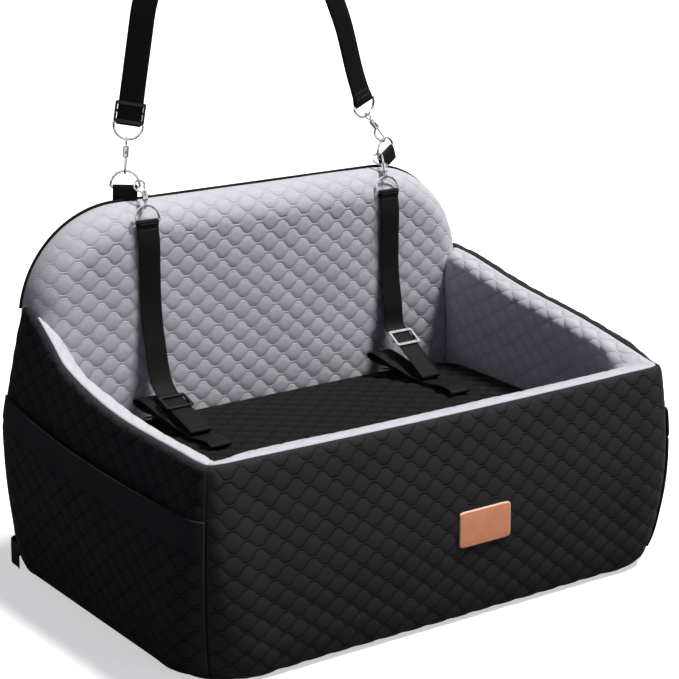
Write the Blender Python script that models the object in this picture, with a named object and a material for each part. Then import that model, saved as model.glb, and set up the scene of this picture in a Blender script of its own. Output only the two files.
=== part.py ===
"""Dog car seat: a padded booster with foam walls, a quilted cover, a headrest strap
and two tethers that clip to D-rings with swivel bolt snaps.

Metres, +Z up.  X runs across the seat, -Y is the front that the dog steps over and +Y the
backrest.  The origin is the middle of the underside, where the seat stands.
"""

from math import acos, cos, hypot, pi, radians, sin, sqrt

import bmesh
import bpy
from mathutils import Matrix, Vector

# Whole seat: the seam lines along the wall tops give the width and depth
SEAT_WIDTH = 0.700
SEAT_DEPTH = 0.455
FRONT_HEIGHT = 0.273
FRONT_SAG = 0.003
WALL_RISE = 0.080
BACKREST_HEIGHT = 0.468
BACKREST_WIDTH = 0.688
BACKREST_CORNER = 0.140
BACKREST_EDGE = 0.040
BACKREST_DEPTH = 0.058
BACKREST_LEAN = 0.045
SEAT_RISE = 0.039
FIT = 0.0003

# Walls: foam between an outer cover and a lining
WALL = 0.042
SKIN = 0.004
FACE_EDGE = 0.007
FACE_BULGE = 0.009
BOTTOM_ROUND = 0.028
BOTTOM_START = radians(10)
SHOULDER_ROUND = 0.012
SEAM_ANGLE = radians(72)
SEAM_GAP_ANGLE = radians(5.5)
SHOULDER_SHARES = (0.0, 0.42, 0.75, 1.0)
TOP_CROWN = 0.0015
INNER_ROUND = 0.018
TOP_CORNER = 0.016
BOTTOM_CORNER = 0.080
INNER_CORNER = 0.004
LINING_END_GAP = 0.0010
FOAM_END_GAP = 0.0035
CORNER_STEP = radians(22.5)
LEFT_DIP = 0.010
LEFT_SLOPE = 0.007
RIGHT_DIP = 0.003
DIP_REACH = 0.110
# Where the sections of a side wall stand along it, and how far each wall has risen there
STATION_SHARES = (0.0, 0.10, 0.24, 0.38, 0.50, 0.60, 0.69, 0.77, 0.84, 0.93, 1.0)
LEFT_RISE_SHARES = (0.0, 0.0, 0.004, 0.02, 0.08, 0.165, 0.26, 0.375, 0.58, 0.86, 1.0)
RIGHT_RISE_SHARES = (0.0, 0.17, 0.315, 0.425, 0.50, 0.57, 0.66, 0.745, 0.815, 0.865, 0.88)
INNER_STATIONS = 9
SHOULDER_ROW = 9
COVER_ROWS = 13
FRONT_STATION_SHARES = (0.0, 0.07, 0.18, 0.33, 0.50, 0.67, 0.82, 0.93, 1.0)
FACE_ROWS = (0.070, 0.115, 0.160, 0.200)
FACE_START_SHARE = 0.12
REAR_CORNER = 0.006
CORNER_LIFT = 0.008
LIFT_HEIGHT = 0.140
END_ROUND_REACH = 0.028
REAR_COLUMN_SHARES = (-0.80, -0.54, -0.27, 0.0, 0.27, 0.54, 0.80)
REAR_ROW_SHARES = (0.03, 0.28, 0.50, 0.68, 0.82, 0.91, 0.955)
REAR_RIM = 0.005
REAR_RIM_END = 0.014
REAR_COLUMN = 0.022
ENVELOPE_TOP = 0.600
FLOOR_SHARE = 0.85
BACKREST_FOAM_FIT = 0.0030
BACKREST_CORNER_STEPS = 12
BACKREST_EDGE_STEPS = 5

# Base
BASE_SKIN = 0.004
BOARD = 0.003
BASE_SEAM = 0.0005
DECK_HEIGHT = 0.150
DECK = 0.002
BASE_FOAM_CORNER = 0.012
DECK_CORNER = 0.008

# Seat cushion
CUSHION_FIT = 0.0006
CUSHION_EDGE_HEIGHT = 0.0315
CUSHION_CROWN = 0.007
CUSHION_DRAW = 0.006
CUSHION_QUILT = 0.0011
CUSHION_COLUMNS = 36
CUSHION_ROWS = 20
CUSHION_SQUARENESS = 10

# Side pockets
POCKET = 0.0025
POCKET_SLACK = 0.0075
POCKET_HEIGHT = 0.210
POCKET_REAR_RISE = 0.025

# Leather patch on the front
PATCH_WIDTH = 0.080
PATCH_HEIGHT = 0.046
PATCH = 0.0016
PATCH_X = 0.0385
PATCH_Z = 0.126

# Piping along the backrest's rear seam
PIPING = 0.0024
PIPING_INSET = 0.0026
PIPING_START = 0.006
LINING_SEAM = 0.0042

# Webbing
WEBBING_WIDTH = 0.032
WEBBING = 0.0014
WEBBING_GAP = 0.0004

# D-rings
RING_WIRE = 0.0034
RING_SPAN = 0.038
RING_HEIGHT = 0.0215
RING_CORNER = 0.0020
RING_STEPS = 10
TAB_RISE = 0.0175
TAB_FOOT = 0.0005

# Swivel bolt snaps: the wires of the two rings that a snap joins lie SNAP_REACH apart
SNAP_REACH = 0.0405
METAL_GAP = 0.0004
BOLT_OFFSET = 0.0060
HOOK_WIRE = 0.0028
BOWL_DROP = 0.0018
STRAP_PULL = 0.0008
NOSE_RISE = 0.0028
BOWL_STEPS = 8
# The spine of the hook from the bowl up to the barrel: sideways in bowl widths, then upward
SPINE_SHARES = ((1.10, 0.26), (1.07, 0.50), (0.84, 0.75), (0.46, 0.94), (0.26, 1.10), (0.235, 1.28))
BARREL_WIDTH = 0.0076
BARREL_BORE = 0.0044
BARREL_TOP = 0.0084
BARREL_LENGTH = 0.0150
BARREL_CHAMFER = 0.0008
COLLAR = 0.0018
COLLAR_BORE = 0.0030
EYE_WIRE = 0.0022
EYE_BORE = 0.0074
EYE_STEPS = 16
EYE_GAP = 0.0005
STEM = 0.0022
STEM_HEAD = 0.0038
STEM_HEAD_THICKNESS = 0.0012
BOLT_ROD = 0.0028
BOLT_HEAD = 0.0038
BOLT_HEAD_LENGTH = 0.0045
BOLT_SEAT = 0.0012
BOLT_TRAVEL = 0.0042
THUMB_WIDTH = 0.0018
THUMB_LENGTH = 0.0020
THUMB_REACH = 0.0062
THUMB_KNOB = 0.0038
THUMB_KNOB_THICKNESS = 0.0012
ROUND_SIDES = 16
BOLT_SIDES = 12

# Sliders
SLIDER_WIDTH = 0.0395
SLIDER_HEIGHT = 0.0280
SLIDER_PLATE = 0.0024
SLIDER_RAIL = 0.0032
SLIDER_BAR = 0.0042
SLIDER_CORNER = 0.0025
SLIDER_EDGE = 0.0007
STRAP_SLIDER_PLACE = 0.0145
SLIDER_CENTRE_BAR = 0.0046
SLIDER_CENTRE_PLATE = 0.0020

# Headrest strap: each side stands on a tab in the rear seam
LEFT_TAB_X = -0.1875
RIGHT_TAB_X = 0.2340
LEFT_TURN = radians(-33)
RIGHT_TURN = radians(19)
LEFT_RING_LEAN = radians(1)
RIGHT_RING_LEAN = radians(-25)
LEFT_SNAP_LEAN = radians(3)
RIGHT_SNAP_TURN = radians(-25)
RIGHT_SNAP_LEAN = radians(-33)
LEFT_STRAND_LEAN = radians(8)
RIGHT_STRAND_TURN = radians(7)
RIGHT_STRAND_LEAN = radians(-21)
STRAND_LENGTH = 0.140
ARCH_REACH = 0.150
ARCH_STEPS = 10
STRAP_TAIL = 0.046
STRAP_SEWN = 0.026

# Tethers: each snap hangs from the end of a backrest ring, over the backrest's roll
LEFT_TETHER_SHIFT = -0.0100
RIGHT_TETHER_SHIFT = -0.0105
LEFT_TETHER_DROP = 0.0225
RIGHT_TETHER_DROP = 0.0218
HOOK_PLACE_SHARE = 0.7
LEFT_TETHER_LEAN = radians(9)
RIGHT_TETHER_LEAN = radians(20)
TETHER_STANDOFF = 0.0045
TETHER_SEWN = 0.022
# Turning points of each tether: in front of the backrest's face, then above the seat
LEFT_TETHER_BEND = (0.0055, 0.1040)
LEFT_TETHER_LOW = (0.0385, 0.0385)
LEFT_FOLD_ONE = 0.1160
RIGHT_TETHER_BEND = (0.0070, 0.0960)
RIGHT_TETHER_LOW = (0.0165, 0.0610)
RIGHT_FOLD_ONE = 0.0950
FOLD_ONE_HEIGHT = 0.0120
FOLD_ONE_ROUND = 0.0026
FOLD_TWO_HEIGHT = 0.0067
FOLD_TWO_ROUND = 0.0021
LAYER_LOW = 0.0046
LAYER_MIDDLE = 0.0066
TURN_HEIGHT = 0.0280
TURN_ROUND = 0.0035
TETHER_END = (0.0020, -0.0005)
LEFT_FOLD_TWO = 0.1635
RIGHT_FOLD_TWO = 0.1605
TETHER_BACK = 0.0135
TETHER_CREASE = 0.0195
TURN_SAG_SHARE = 0.42
SEWN_GAP = 0.0009
SEWN_START = 0.006
LEFT_BACK_SHIFT = -0.020
RIGHT_BACK_SHIFT = -0.030
LEFT_SLIDER_SHARE = 0.76
RIGHT_SLIDER_SHARE = 0.78

# Belt loops round the lower rear corners
BELT_LOOP_HEIGHT = 0.018
BELT_LOOP_ROOM = 0.013
BELT_LOOP_SWEEP = radians(21)
BELT_LOOP_STEPS = 12

HALF_WIDTH = SEAT_WIDTH / 2
HALF_DEPTH = SEAT_DEPTH / 2
MIDDLE_SHARE = 0.5
MITRE_LIMIT_SHARE = 0.5
BACKREST_FACE = HALF_DEPTH - BACKREST_DEPTH
SEAT_TOP = DECK_HEIGHT + SEAT_RISE
BASE_TOP = BASE_SKIN + FIT
FOAM_FLOOR = BASE_TOP + BOARD + FIT
FOAM_DEPTH = SKIN + FIT
FOAM_START = acos((BOTTOM_ROUND - FOAM_FLOOR) / (BOTTOM_ROUND - FOAM_DEPTH))
SEAM_Y = HALF_DEPTH - PIPING_INSET
CUSHION_FLOOR = DECK_HEIGHT + FIT + DECK + FIT


# Scene and materials

def clear_scene():
    for item in list(bpy.data.objects):
        bpy.data.objects.remove(item, do_unlink=True)
    for group in list(bpy.data.collections):
        bpy.data.collections.remove(group)


def new_collection(name):
    group = bpy.data.collections.new(name)
    bpy.context.scene.collection.children.link(group)
    return group


def material(name, colour, roughness, metallic=0.0):
    made = bpy.data.materials.new(name)
    made.use_nodes = True
    made.diffuse_color = (*colour, 1.0)
    shader = made.node_tree.nodes["Principled BSDF"]
    shader.inputs["Base Color"].default_value = (*colour, 1.0)
    shader.inputs["Roughness"].default_value = roughness
    shader.inputs["Metallic"].default_value = metallic
    return made


clear_scene()
PARTS = new_collection("dog_car_seat")

BLACK_FABRIC = (0.012, 0.012, 0.014)
GREY_FABRIC = (0.52, 0.52, 0.56)
BLACK_WEBBING = (0.010, 0.010, 0.011)
TAN_LEATHER = (0.45, 0.20, 0.07)
FOAM_COLOUR = (0.75, 0.72, 0.60)
BOARD_COLOUR = (0.20, 0.20, 0.21)
CHROME = (0.75, 0.75, 0.77)
DARK_METAL = (0.08, 0.08, 0.09)


# Mesh helpers

def finish_mesh(name, bm, smooth=None):
    """A closed mesh object with outward faces; smooth is the crease angle for shading."""
    bmesh.ops.remove_doubles(bm, verts=bm.verts, dist=1e-6)
    bmesh.ops.recalc_face_normals(bm, faces=bm.faces)
    for face in bm.faces:
        face.smooth = smooth is not None
    if smooth is not None:
        for edge in bm.edges:
            if len(edge.link_faces) == 2:
                edge.smooth = edge.calc_face_angle(0.0) < smooth
    mesh = bpy.data.meshes.new(name)
    bm.to_mesh(mesh)
    bm.free()
    made = bpy.data.objects.new(name, mesh)
    bpy.context.scene.collection.objects.link(made)
    return made


SMOOTH = radians(50)


def into_parts(made, finish):
    """Give an object its own material and put it with the parts."""
    made.data.materials.clear()
    made.data.materials.append(finish)
    for group in list(made.users_collection):
        group.objects.unlink(made)
    PARTS.objects.link(made)
    return made


def split_face(bm, one, two, three, four):
    """Two triangles across the first and third corner, the same way in every layer."""
    bm.faces.new((one, two, three))
    bm.faces.new((one, three, four))


def shell(name, outer, inner):
    """Closed body between two layers of points that share one grid of rows and columns."""
    bm = bmesh.new()
    rows = len(outer)
    columns = len(outer[0])
    top = [[bm.verts.new(point) for point in row] for row in outer]
    low = [[bm.verts.new(point) for point in row] for row in inner]
    for i in range(rows - 1):
        for j in range(columns - 1):
            split_face(bm, top[i][j], top[i][j + 1], top[i + 1][j + 1], top[i + 1][j])
            split_face(bm, low[i][j], low[i + 1][j], low[i + 1][j + 1], low[i][j + 1])
    for j in range(columns - 1):
        bm.faces.new((top[0][j], low[0][j], low[0][j + 1], top[0][j + 1]))
        bm.faces.new((top[-1][j], top[-1][j + 1], low[-1][j + 1], low[-1][j]))
    for i in range(rows - 1):
        bm.faces.new((top[i][0], top[i + 1][0], low[i + 1][0], low[i][0]))
        bm.faces.new((top[i][-1], low[i][-1], low[i + 1][-1], top[i + 1][-1]))
    return finish_mesh(name, bm, SMOOTH)


def ring_loft(name, rings, smooth=SMOOTH):
    """Closed body through closed rings of points, with a flat face on both ends."""
    bm = bmesh.new()
    made = [[bm.verts.new(point) for point in ring] for ring in rings]
    count = len(rings[0])
    for i in range(len(rings) - 1):
        for j in range(count):
            k = (j + 1) % count
            bm.faces.new((made[i][j], made[i][k], made[i + 1][k], made[i + 1][j]))
    bm.faces.new(made[0])
    bm.faces.new(made[-1])
    return finish_mesh(name, bm, smooth)


def plate(name, outline, bottom, top):
    """Flat plate from a plan outline."""
    low = [(x, y, bottom) for x, y in outline]
    high = [(x, y, top) for x, y in outline]
    return ring_loft(name, [low, high])


def rounded_outline(half_x, front, rear, corner, steps=4):
    """Plan rectangle with rounded corners, counter-clockwise."""
    points = []
    centres = ((half_x - corner, front + corner, -pi / 2), (half_x - corner, rear - corner, 0.0),
               (corner - half_x, rear - corner, pi / 2), (corner - half_x, front + corner, pi))
    for x, y, start in centres:
        for step in range(steps + 1):
            angle = start + (pi / 2) * step / steps
            points.append((x + corner * cos(angle), y + corner * sin(angle)))
    return points


def wire(name, points, width, cyclic=False, resolution=2):
    """Round wire along points, as a closed mesh."""
    curve = bpy.data.curves.new(name, "CURVE")
    curve.dimensions = "3D"
    curve.bevel_depth = width / 2
    curve.bevel_resolution = resolution
    curve.use_fill_caps = not cyclic
    spline = curve.splines.new("POLY")
    spline.points.add(len(points) - 1)
    for knot, point in zip(spline.points, points):
        knot.co = (*point, 1.0)
    spline.use_cyclic_u = cyclic
    drawn = bpy.data.objects.new(name, curve)
    bpy.context.scene.collection.objects.link(drawn)
    bpy.context.view_layer.update()
    graph = bpy.context.evaluated_depsgraph_get()
    mesh = bpy.data.meshes.new_from_object(drawn.evaluated_get(graph))
    bpy.data.objects.remove(drawn, do_unlink=True)
    bpy.data.curves.remove(curve)
    bm = bmesh.new()
    bm.from_mesh(mesh)
    bpy.data.meshes.remove(mesh)
    return finish_mesh(name, bm, SMOOTH)


def cylinder(name, width, bottom, top, sides=ROUND_SIDES, chamfer=0.0):
    """Upright cylinder on the Z axis, chamfered at both ends when a chamfer is given."""
    radius = width / 2
    rows = [(radius, bottom), (radius, top)]
    if chamfer:
        rows = [(radius - chamfer, bottom), (radius, bottom + chamfer),
                (radius, top - chamfer), (radius - chamfer, top)]
    rings = []
    for distance, height in rows:
        rings.append([(distance * cos(2 * pi * k / sides), distance * sin(2 * pi * k / sides), height)
                      for k in range(sides)])
    return ring_loft(name, rings)


def box(name, low, high):
    outline = ((low[0], low[1]), (high[0], low[1]), (high[0], high[1]), (low[0], high[1]))
    return plate(name, outline, low[2], high[2])


def combine(target, tool, operation):
    """Boolean of two solids; the tool is used up."""
    step = target.modifiers.new(operation.lower(), "BOOLEAN")
    step.operation = operation
    step.solver = "EXACT"
    step.object = tool
    bpy.context.view_layer.update()
    graph = bpy.context.evaluated_depsgraph_get()
    mesh = bpy.data.meshes.new_from_object(target.evaluated_get(graph))
    target.modifiers.clear()
    bm = bmesh.new()
    bm.from_mesh(mesh)
    bpy.data.meshes.remove(mesh)
    bmesh.ops.dissolve_degenerate(bm, edges=bm.edges, dist=1e-6)
    bm.to_mesh(target.data)
    bm.free()
    bpy.data.objects.remove(tool, do_unlink=True)
    return target


def soften(made, smooth=SMOOTH):
    """Shade smooth up to the crease angle."""
    bm = bmesh.new()
    bm.from_mesh(made.data)
    for face in bm.faces:
        face.smooth = True
    for edge in bm.edges:
        if len(edge.link_faces) == 2:
            edge.smooth = edge.calc_face_angle(0.0) < smooth
    bm.to_mesh(made.data)
    bm.free()


def moved_copy(source, name, frame, pivot=None):
    """Real copy of a prototype, placed by a frame, its origin on the pivot."""
    mesh = source.data.copy()
    mesh.name = name
    origin = Vector(pivot) if pivot is not None else frame.translation.copy()
    mesh.transform(Matrix.Translation(-origin) @ frame)
    made = bpy.data.objects.new(name, mesh)
    made.location = origin
    bpy.context.scene.collection.objects.link(made)
    return made


# Wall sections.  t runs inward from the seam plane, z up; each point keeps its corner radius

def lerp(a, b, share):
    return a + (b - a) * share


def blend_table(shares, values, share):
    """Straight-line reading of a table."""
    share = min(max(share, shares[0]), shares[-1])
    for i in range(len(shares) - 1):
        if share <= shares[i + 1]:
            part = (share - shares[i]) / (shares[i + 1] - shares[i])
            return lerp(values[i], values[i + 1], part)
    return values[-1]


def face_out(z, top):
    """How far the outer face stands inside (minus: outside) the seam plane."""
    start = top - SHOULDER_ROUND
    share = (z - BOTTOM_ROUND) / (start - BOTTOM_ROUND)
    share = min(max(share, 0.0), 1.0)
    swell = sin(pi * lerp(FACE_START_SHARE, 1.0, share))
    return -FACE_EDGE - FACE_BULGE * swell


def corner_radius(t, z, top, upper):
    low = max(0.0, 1.0 - z / top)
    return max(upper - t, INNER_CORNER) + (BOTTOM_CORNER - upper) * low * low


def section(top, drop, upper):
    """Outer line of a wall: cover points, then lining points, each (t, z, corner radius)."""
    centre = BOTTOM_ROUND + face_out(BOTTOM_ROUND, top)
    rows = []
    for angle in (BOTTOM_START, FOAM_START, radians(60), radians(90)):
        rows.append((centre - BOTTOM_ROUND * sin(angle), BOTTOM_ROUND * (1 - cos(angle))))
    for z in FACE_ROWS:
        rows.append((face_out(z, top), z))
    shoulder = top - SHOULDER_ROUND
    middle = (FACE_ROWS[-1] + shoulder) / 2
    rows.append((face_out(middle, top), middle))
    across = SHOULDER_ROUND - FACE_EDGE
    for share in SHOULDER_SHARES:
        angle = SEAM_ANGLE * share
        rows.append((across - SHOULDER_ROUND * cos(angle), shoulder + SHOULDER_ROUND * sin(angle)))
    cover = [(t, z, corner_radius(t, z, top, upper)) for t, z in rows]
    seam = SEAM_ANGLE + SEAM_GAP_ANGLE
    rows = [(across - SHOULDER_ROUND * cos(seam), shoulder + SHOULDER_ROUND * sin(seam)),
            (across, top)]
    inner = WALL - INNER_ROUND
    for share in (0.33, 0.67, 1.0):
        t = lerp(across, inner, share)
        rows.append((t, top + TOP_CROWN * sin(pi * share) - drop * t / WALL))
    for angle in (30, 60, 90):
        turn = radians(angle)
        t = inner + INNER_ROUND * sin(turn)
        rows.append((t, top - INNER_ROUND * (1 - cos(turn)) - drop * t / WALL))
    rows.append((WALL, (top - INNER_ROUND + DECK_HEIGHT) / 2))
    rows.append((WALL, DECK_HEIGHT + FIT))
    lining = [(t, z, max(upper - t, INNER_CORNER)) for t, z in rows]
    return cover, lining


def inset_path(path, depth):
    """The same line a depth inside; the corner arcs keep their centres."""
    made = []
    for i, (t, z, radius) in enumerate(path):
        before = path[max(i - 1, 0)]
        after = path[min(i + 1, len(path) - 1)]
        one = Vector((t - before[0], z - before[1]))
        two = Vector((after[0] - t, after[1] - z))
        one = one if one.length > 0 else two
        two = two if two.length > 0 else one
        one.normalize()
        two.normalize()
        normal = Vector((one.y + two.y, -one.x - two.x)).normalized()
        reach = depth / max(normal.dot(Vector((one.y, -one.x))), MITRE_LIMIT_SHARE)
        step = normal * reach
        made.append((t + step.x, z + step.y, radius - step.x))
    return made


def wall_top(side, share):
    if side == "front":
        across = 2 * share - 1
        return FRONT_HEIGHT - FRONT_SAG * (1 - across * across)
    if side == "left":
        return FRONT_HEIGHT + WALL_RISE * blend_table(STATION_SHARES, LEFT_RISE_SHARES, share)
    return FRONT_HEIGHT + WALL_RISE * blend_table(STATION_SHARES, RIGHT_RISE_SHARES, share)


def wall_drop(side, share):
    """The inner edge of the wall top dips into the front corners, and along the left wall."""
    length = SEAT_WIDTH if side == "front" else SEAT_DEPTH
    near = max(0.0, 1 - share * length / DIP_REACH)
    far = max(0.0, 1 - (1 - share) * length / DIP_REACH)
    if side == "front":
        return LEFT_DIP * near + RIGHT_DIP * far
    return max(near * LEFT_DIP, LEFT_SLOPE) if side == "left" else near * RIGHT_DIP


def place(side, s, t, z):
    if side == "front":
        return Vector((s, t - HALF_DEPTH, z))
    if side == "rear":
        return Vector((s, HALF_DEPTH - t, z))
    if side == "left":
        return Vector((t - HALF_WIDTH, s, z))
    return Vector((HALF_WIDTH - t, s, z))


def half_length(side):
    return HALF_WIDTH if side in ("front", "rear") else HALF_DEPTH


def lifted(z, share):
    """The lower corners stand clear of the floor."""
    return z + CORNER_LIFT * share * max(0.0, 1 - z / LIFT_HEIGHT)


def corner_point(side, end, angle, point):
    """A point on the round of a corner; at 45 degrees it stops short of the mitre."""
    t, z, radius = point
    s = half_length(side) - t - radius + radius * sin(angle)
    if angle > radians(40):
        s -= FIT
    share = angle / radians(45)
    return place(side, end * s, t + radius - radius * cos(angle), lifted(z, share))


CORNER_ANGLES = (radians(45), radians(22.5), 0.0)


def wall_section(side, share, depth, part, rear=False):
    """Section points of one part of a wall at one station, a depth inside the outer line."""
    upper = REAR_CORNER if rear else TOP_CORNER
    cover, lining = section(wall_top(side, share), wall_drop(side, share), upper)
    whole = cover + lining
    if depth:
        whole = inset_path(whole, depth)
    if part == "cover":
        return whole[:len(cover)]
    if part == "lining":
        return whole[len(cover):]
    end = whole[-1]
    return whole[1:-1] + [(end[0], FOAM_FLOOR, end[2])]


def tangent(side, points, k):
    """Half length of the straight part of row k."""
    t, z, radius = points[k]
    return half_length(side) - t - radius


def row_span(side, first, last, part, k):
    """Both ends of the straight part of row k; rows over the shoulder share the seam's span."""
    rows = COVER_ROWS + k if part == "lining" else k
    rows = k + 1 if part == "foam" else rows
    if rows < SHOULDER_ROW:
        return -tangent(side, first, k), tangent(side, last, k)
    seam = COVER_ROWS - 1
    start = wall_section(side, 0.0, 0.0, "cover")
    end = wall_section(side, 1.0, 0.0, "cover", rear=side != "front")
    return -tangent(side, start, seam), tangent(side, end, seam)


def backrest_face(z):
    return BACKREST_FACE + BACKREST_LEAN * (z - SEAT_TOP)


def wall_end(t, z, part):
    """Where a side wall's foam and lining meet the backrest."""
    beyond = min(max(HALF_WIDTH - t - (BACKREST_WIDTH / 2 - BACKREST_EDGE), 0.0), END_ROUND_REACH)
    rounding = BACKREST_EDGE - sqrt(BACKREST_EDGE ** 2 - beyond ** 2)
    gap = FOAM_END_GAP if part == "foam" else LINING_END_GAP
    return backrest_face(z) + rounding - gap


def between_stations(side, sections, share, k):
    """Row k of a side wall at any share, on the straight lines between its stations."""
    for i in range(len(STATION_SHARES) - 1):
        low, high = STATION_SHARES[i], STATION_SHARES[i + 1]
        if share <= high or i == len(STATION_SHARES) - 2:
            part = min((share - low) / (high - low), 1.0)
            return [lerp(a, b, part) for a, b in zip(sections[i][k], sections[i + 1][k])]
    return sections[-1][k]


def end_column(side, depth, part):
    """Last column of a side wall's foam or lining, fitted to the backrest."""
    sections = []
    for share in STATION_SHARES:
        sections.append(wall_section(side, share, depth, part, rear=share == 1.0))
    made = []
    for k in range(len(sections[0])):
        low, high = row_span(side, sections[0], sections[-1], part, k)
        share = STATION_SHARES[-2]
        for _ in range(4):
            t, z, radius = between_stations(side, sections, share, k)
            y = wall_end(t, z, part)
            share = (y - low) / (high - low)
        over = max(0.0, y - high)
        t += over * sin(CORNER_STEP / 2) / cos(CORNER_STEP / 2)
        z = lifted(z, 0.5 * min(1.0, over / (radius * sin(CORNER_STEP))))
        made.append(place(side, y, t, z))
    return made


def wall_columns(side, depth, part):
    """All columns of points of one layer of a wall, from one end to the other."""
    columns = []
    front = wall_section(side, 0.0, depth, part)
    for angle in CORNER_ANGLES:
        columns.append([corner_point(side, -1, angle, point) for point in front])
    shares = FRONT_STATION_SHARES if side == "front" else STATION_SHARES
    whole = side == "front" or part == "cover"
    last = wall_section(side, 1.0, depth, part, rear=side != "front")
    inner = shares[1:-1] if whole else shares[1:INNER_STATIONS]
    for share in inner:
        points = wall_section(side, share, depth, part)
        column = []
        for k, (t, z, radius) in enumerate(points):
            low, high = row_span(side, front, last, part, k)
            column.append(place(side, lerp(low, high, share), t, z))
        columns.append(column)
    if whole:
        for angle in reversed(CORNER_ANGLES):
            columns.append([corner_point(side, 1, angle, point) for point in last])
    else:
        columns.append(end_column(side, depth, part))
    return columns


def wall_skin(name, side, part):
    return shell(name, wall_columns(side, 0.0, part), wall_columns(side, SKIN, part))


def wall_foam(name, side):
    """Wall foam: rings of section points, each end closed by strips from outside to inside."""
    columns = wall_columns(side, FOAM_DEPTH, "foam")
    bm = bmesh.new()
    made = [[bm.verts.new(point) for point in column] for column in columns]
    count = len(columns[0])
    for i in range(len(columns) - 1):
        for j in range(count):
            k = (j + 1) % count
            split_face(bm, made[i][j], made[i][k], made[i + 1][k], made[i + 1][j])
    for column in (made[0], made[-1]):
        for j in range((count - 1) // 2):
            k = count - 1 - j
            if k - 1 > j + 1:
                bm.faces.new((column[j], column[j + 1], column[k - 1], column[k]))
            else:
                bm.faces.new((column[j], column[j + 1], column[k]))
    return finish_mesh(name, bm, SMOOTH)


# Backrest

REST_HALF = BACKREST_WIDTH / 2
REST_CENTRE_X = REST_HALF - BACKREST_CORNER
REST_CENTRE_Z = BACKREST_HEIGHT - BACKREST_CORNER


def backrest_outline(inset, bottom):
    """Outline of the backrest in X and Z, from the lower right over the top to the left."""
    radius = BACKREST_CORNER - inset
    points = [(REST_HALF - inset, bottom)]
    for step in range(BACKREST_CORNER_STEPS + 1):
        angle = (pi / 2) * step / BACKREST_CORNER_STEPS
        points.append((REST_CENTRE_X + radius * cos(angle), REST_CENTRE_Z + radius * sin(angle)))
    points += [(-x, z) for x, z in reversed(points)]
    return points


def backrest_block(name, inset, front_inset, rear, bottom, rear_round=0.0):
    """Backrest body: flat rear, rounded front edge, leaning front."""
    front = backrest_face(SEAT_TOP) + front_inset
    outline = backrest_outline(inset, bottom)
    bm = bmesh.new()
    face = bm.faces.new([bm.verts.new((x, front, z)) for x, z in outline])
    made = bmesh.ops.extrude_face_region(bm, geom=[face])
    for vert in (item for item in made["geom"] if isinstance(item, bmesh.types.BMVert)):
        vert.co.y = rear

    def rim(y):
        found = []
        for edge in bm.edges:
            one, two = edge.verts
            level = abs(one.co.y - y) < FIT and abs(two.co.y - y) < FIT
            base = abs(one.co.z - bottom) < FIT and abs(two.co.z - bottom) < FIT
            if level and not base:
                found.append(edge)
        return found

    bmesh.ops.bevel(bm, geom=rim(front), offset=BACKREST_EDGE - inset, offset_type="OFFSET",
                    segments=BACKREST_EDGE_STEPS, profile=0.5, affect="EDGES", clamp_overlap=False)
    if rear_round:
        bmesh.ops.bevel(bm, geom=rim(rear), offset=rear_round, offset_type="OFFSET",
                        segments=3, profile=0.5, affect="EDGES", clamp_overlap=False)
    for vert in bm.verts:
        if vert.co.y < rear - rear_round - FIT:
            vert.co.y += BACKREST_LEAN * (vert.co.z - SEAT_TOP)
    return finish_mesh(name, bm, SMOOTH)


def backrest_lining(name):
    rear = HALF_DEPTH - LINING_SEAM
    bottom = DECK_HEIGHT + FIT
    outer = backrest_block(name, 0.0, 0.0, rear, bottom)
    inner = backrest_block("lining_tool", SKIN, SKIN, rear + WALL, bottom - WALL)
    return soften_after(combine(outer, inner, "DIFFERENCE"))


def soften_after(made):
    soften(made)
    return made


def envelope(name):
    """The room inside all the covers, as closed plan rings."""
    paths = {}
    for side in ("left", "right", "front"):
        for end in (0, 1):
            rear = side != "front" and end == 1
            paths[side, end] = wall_section(side, float(end), FOAM_DEPTH, "foam", rear)
    rings = [envelope_floor(paths)]
    for k in range(9):
        rings.append(envelope_ring(paths, k))
    rings.append([(x, y, ENVELOPE_TOP) for x, y, z in rings[-1]])
    return ring_loft(name, rings)


def envelope_floor(paths):
    """Level ring inside the lifted lower corners."""
    ring = []
    for x, y, z in envelope_ring(paths, 0):
        ring.append((x * FLOOR_SHARE, y * FLOOR_SHARE, FOAM_FLOOR))
    return ring


def envelope_ring(paths, k):
    corners = (("left", -1, paths["left", 0][k]), ("right", -1, paths["right", 0][k]),
               ("right", 1, paths["right", 1][k]), ("left", 1, paths["left", 1][k]))
    ring = []
    for index, (side, end, (t, z, radius)) in enumerate(corners):
        wall = -1 if side == "left" else 1
        cx = wall * (HALF_WIDTH - t - radius)
        cy = end * (HALF_DEPTH - t - radius)
        start = pi + index * pi / 2
        for step in range(5):
            angle = start + (pi / 2) * step / 4
            height = lifted(z, 1 - abs(step - 2) / 2)
            ring.append((cx + radius * cos(angle), cy + radius * sin(angle), height))
    return ring


def backrest_foam(name):
    inset = SKIN + BACKREST_FOAM_FIT
    rear = HALF_DEPTH + FACE_EDGE - SKIN - BACKREST_FOAM_FIT
    rounding = SHOULDER_ROUND - SKIN
    block = backrest_block(name, inset, FOAM_DEPTH, rear, FOAM_FLOOR, rounding)
    return soften_after(combine(block, envelope("foam_tool"), "INTERSECT"))


def outline_depth(x, z):
    """Distance inside the backrest outline, and the outward direction there."""
    side = 1.0 if x >= 0 else -1.0
    over = abs(x) - REST_CENTRE_X
    rise = z - REST_CENTRE_Z
    if over > 0 and rise > 0:
        reach = hypot(over, rise)
        return BACKREST_CORNER - reach, Vector((side * over / reach, 0.0, rise / reach))
    if REST_HALF - abs(x) < BACKREST_HEIGHT - z:
        return REST_HALF - abs(x), Vector((side, 0.0, 0.0))
    return BACKREST_HEIGHT - z, Vector((0.0, 0.0, 1.0))


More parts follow.
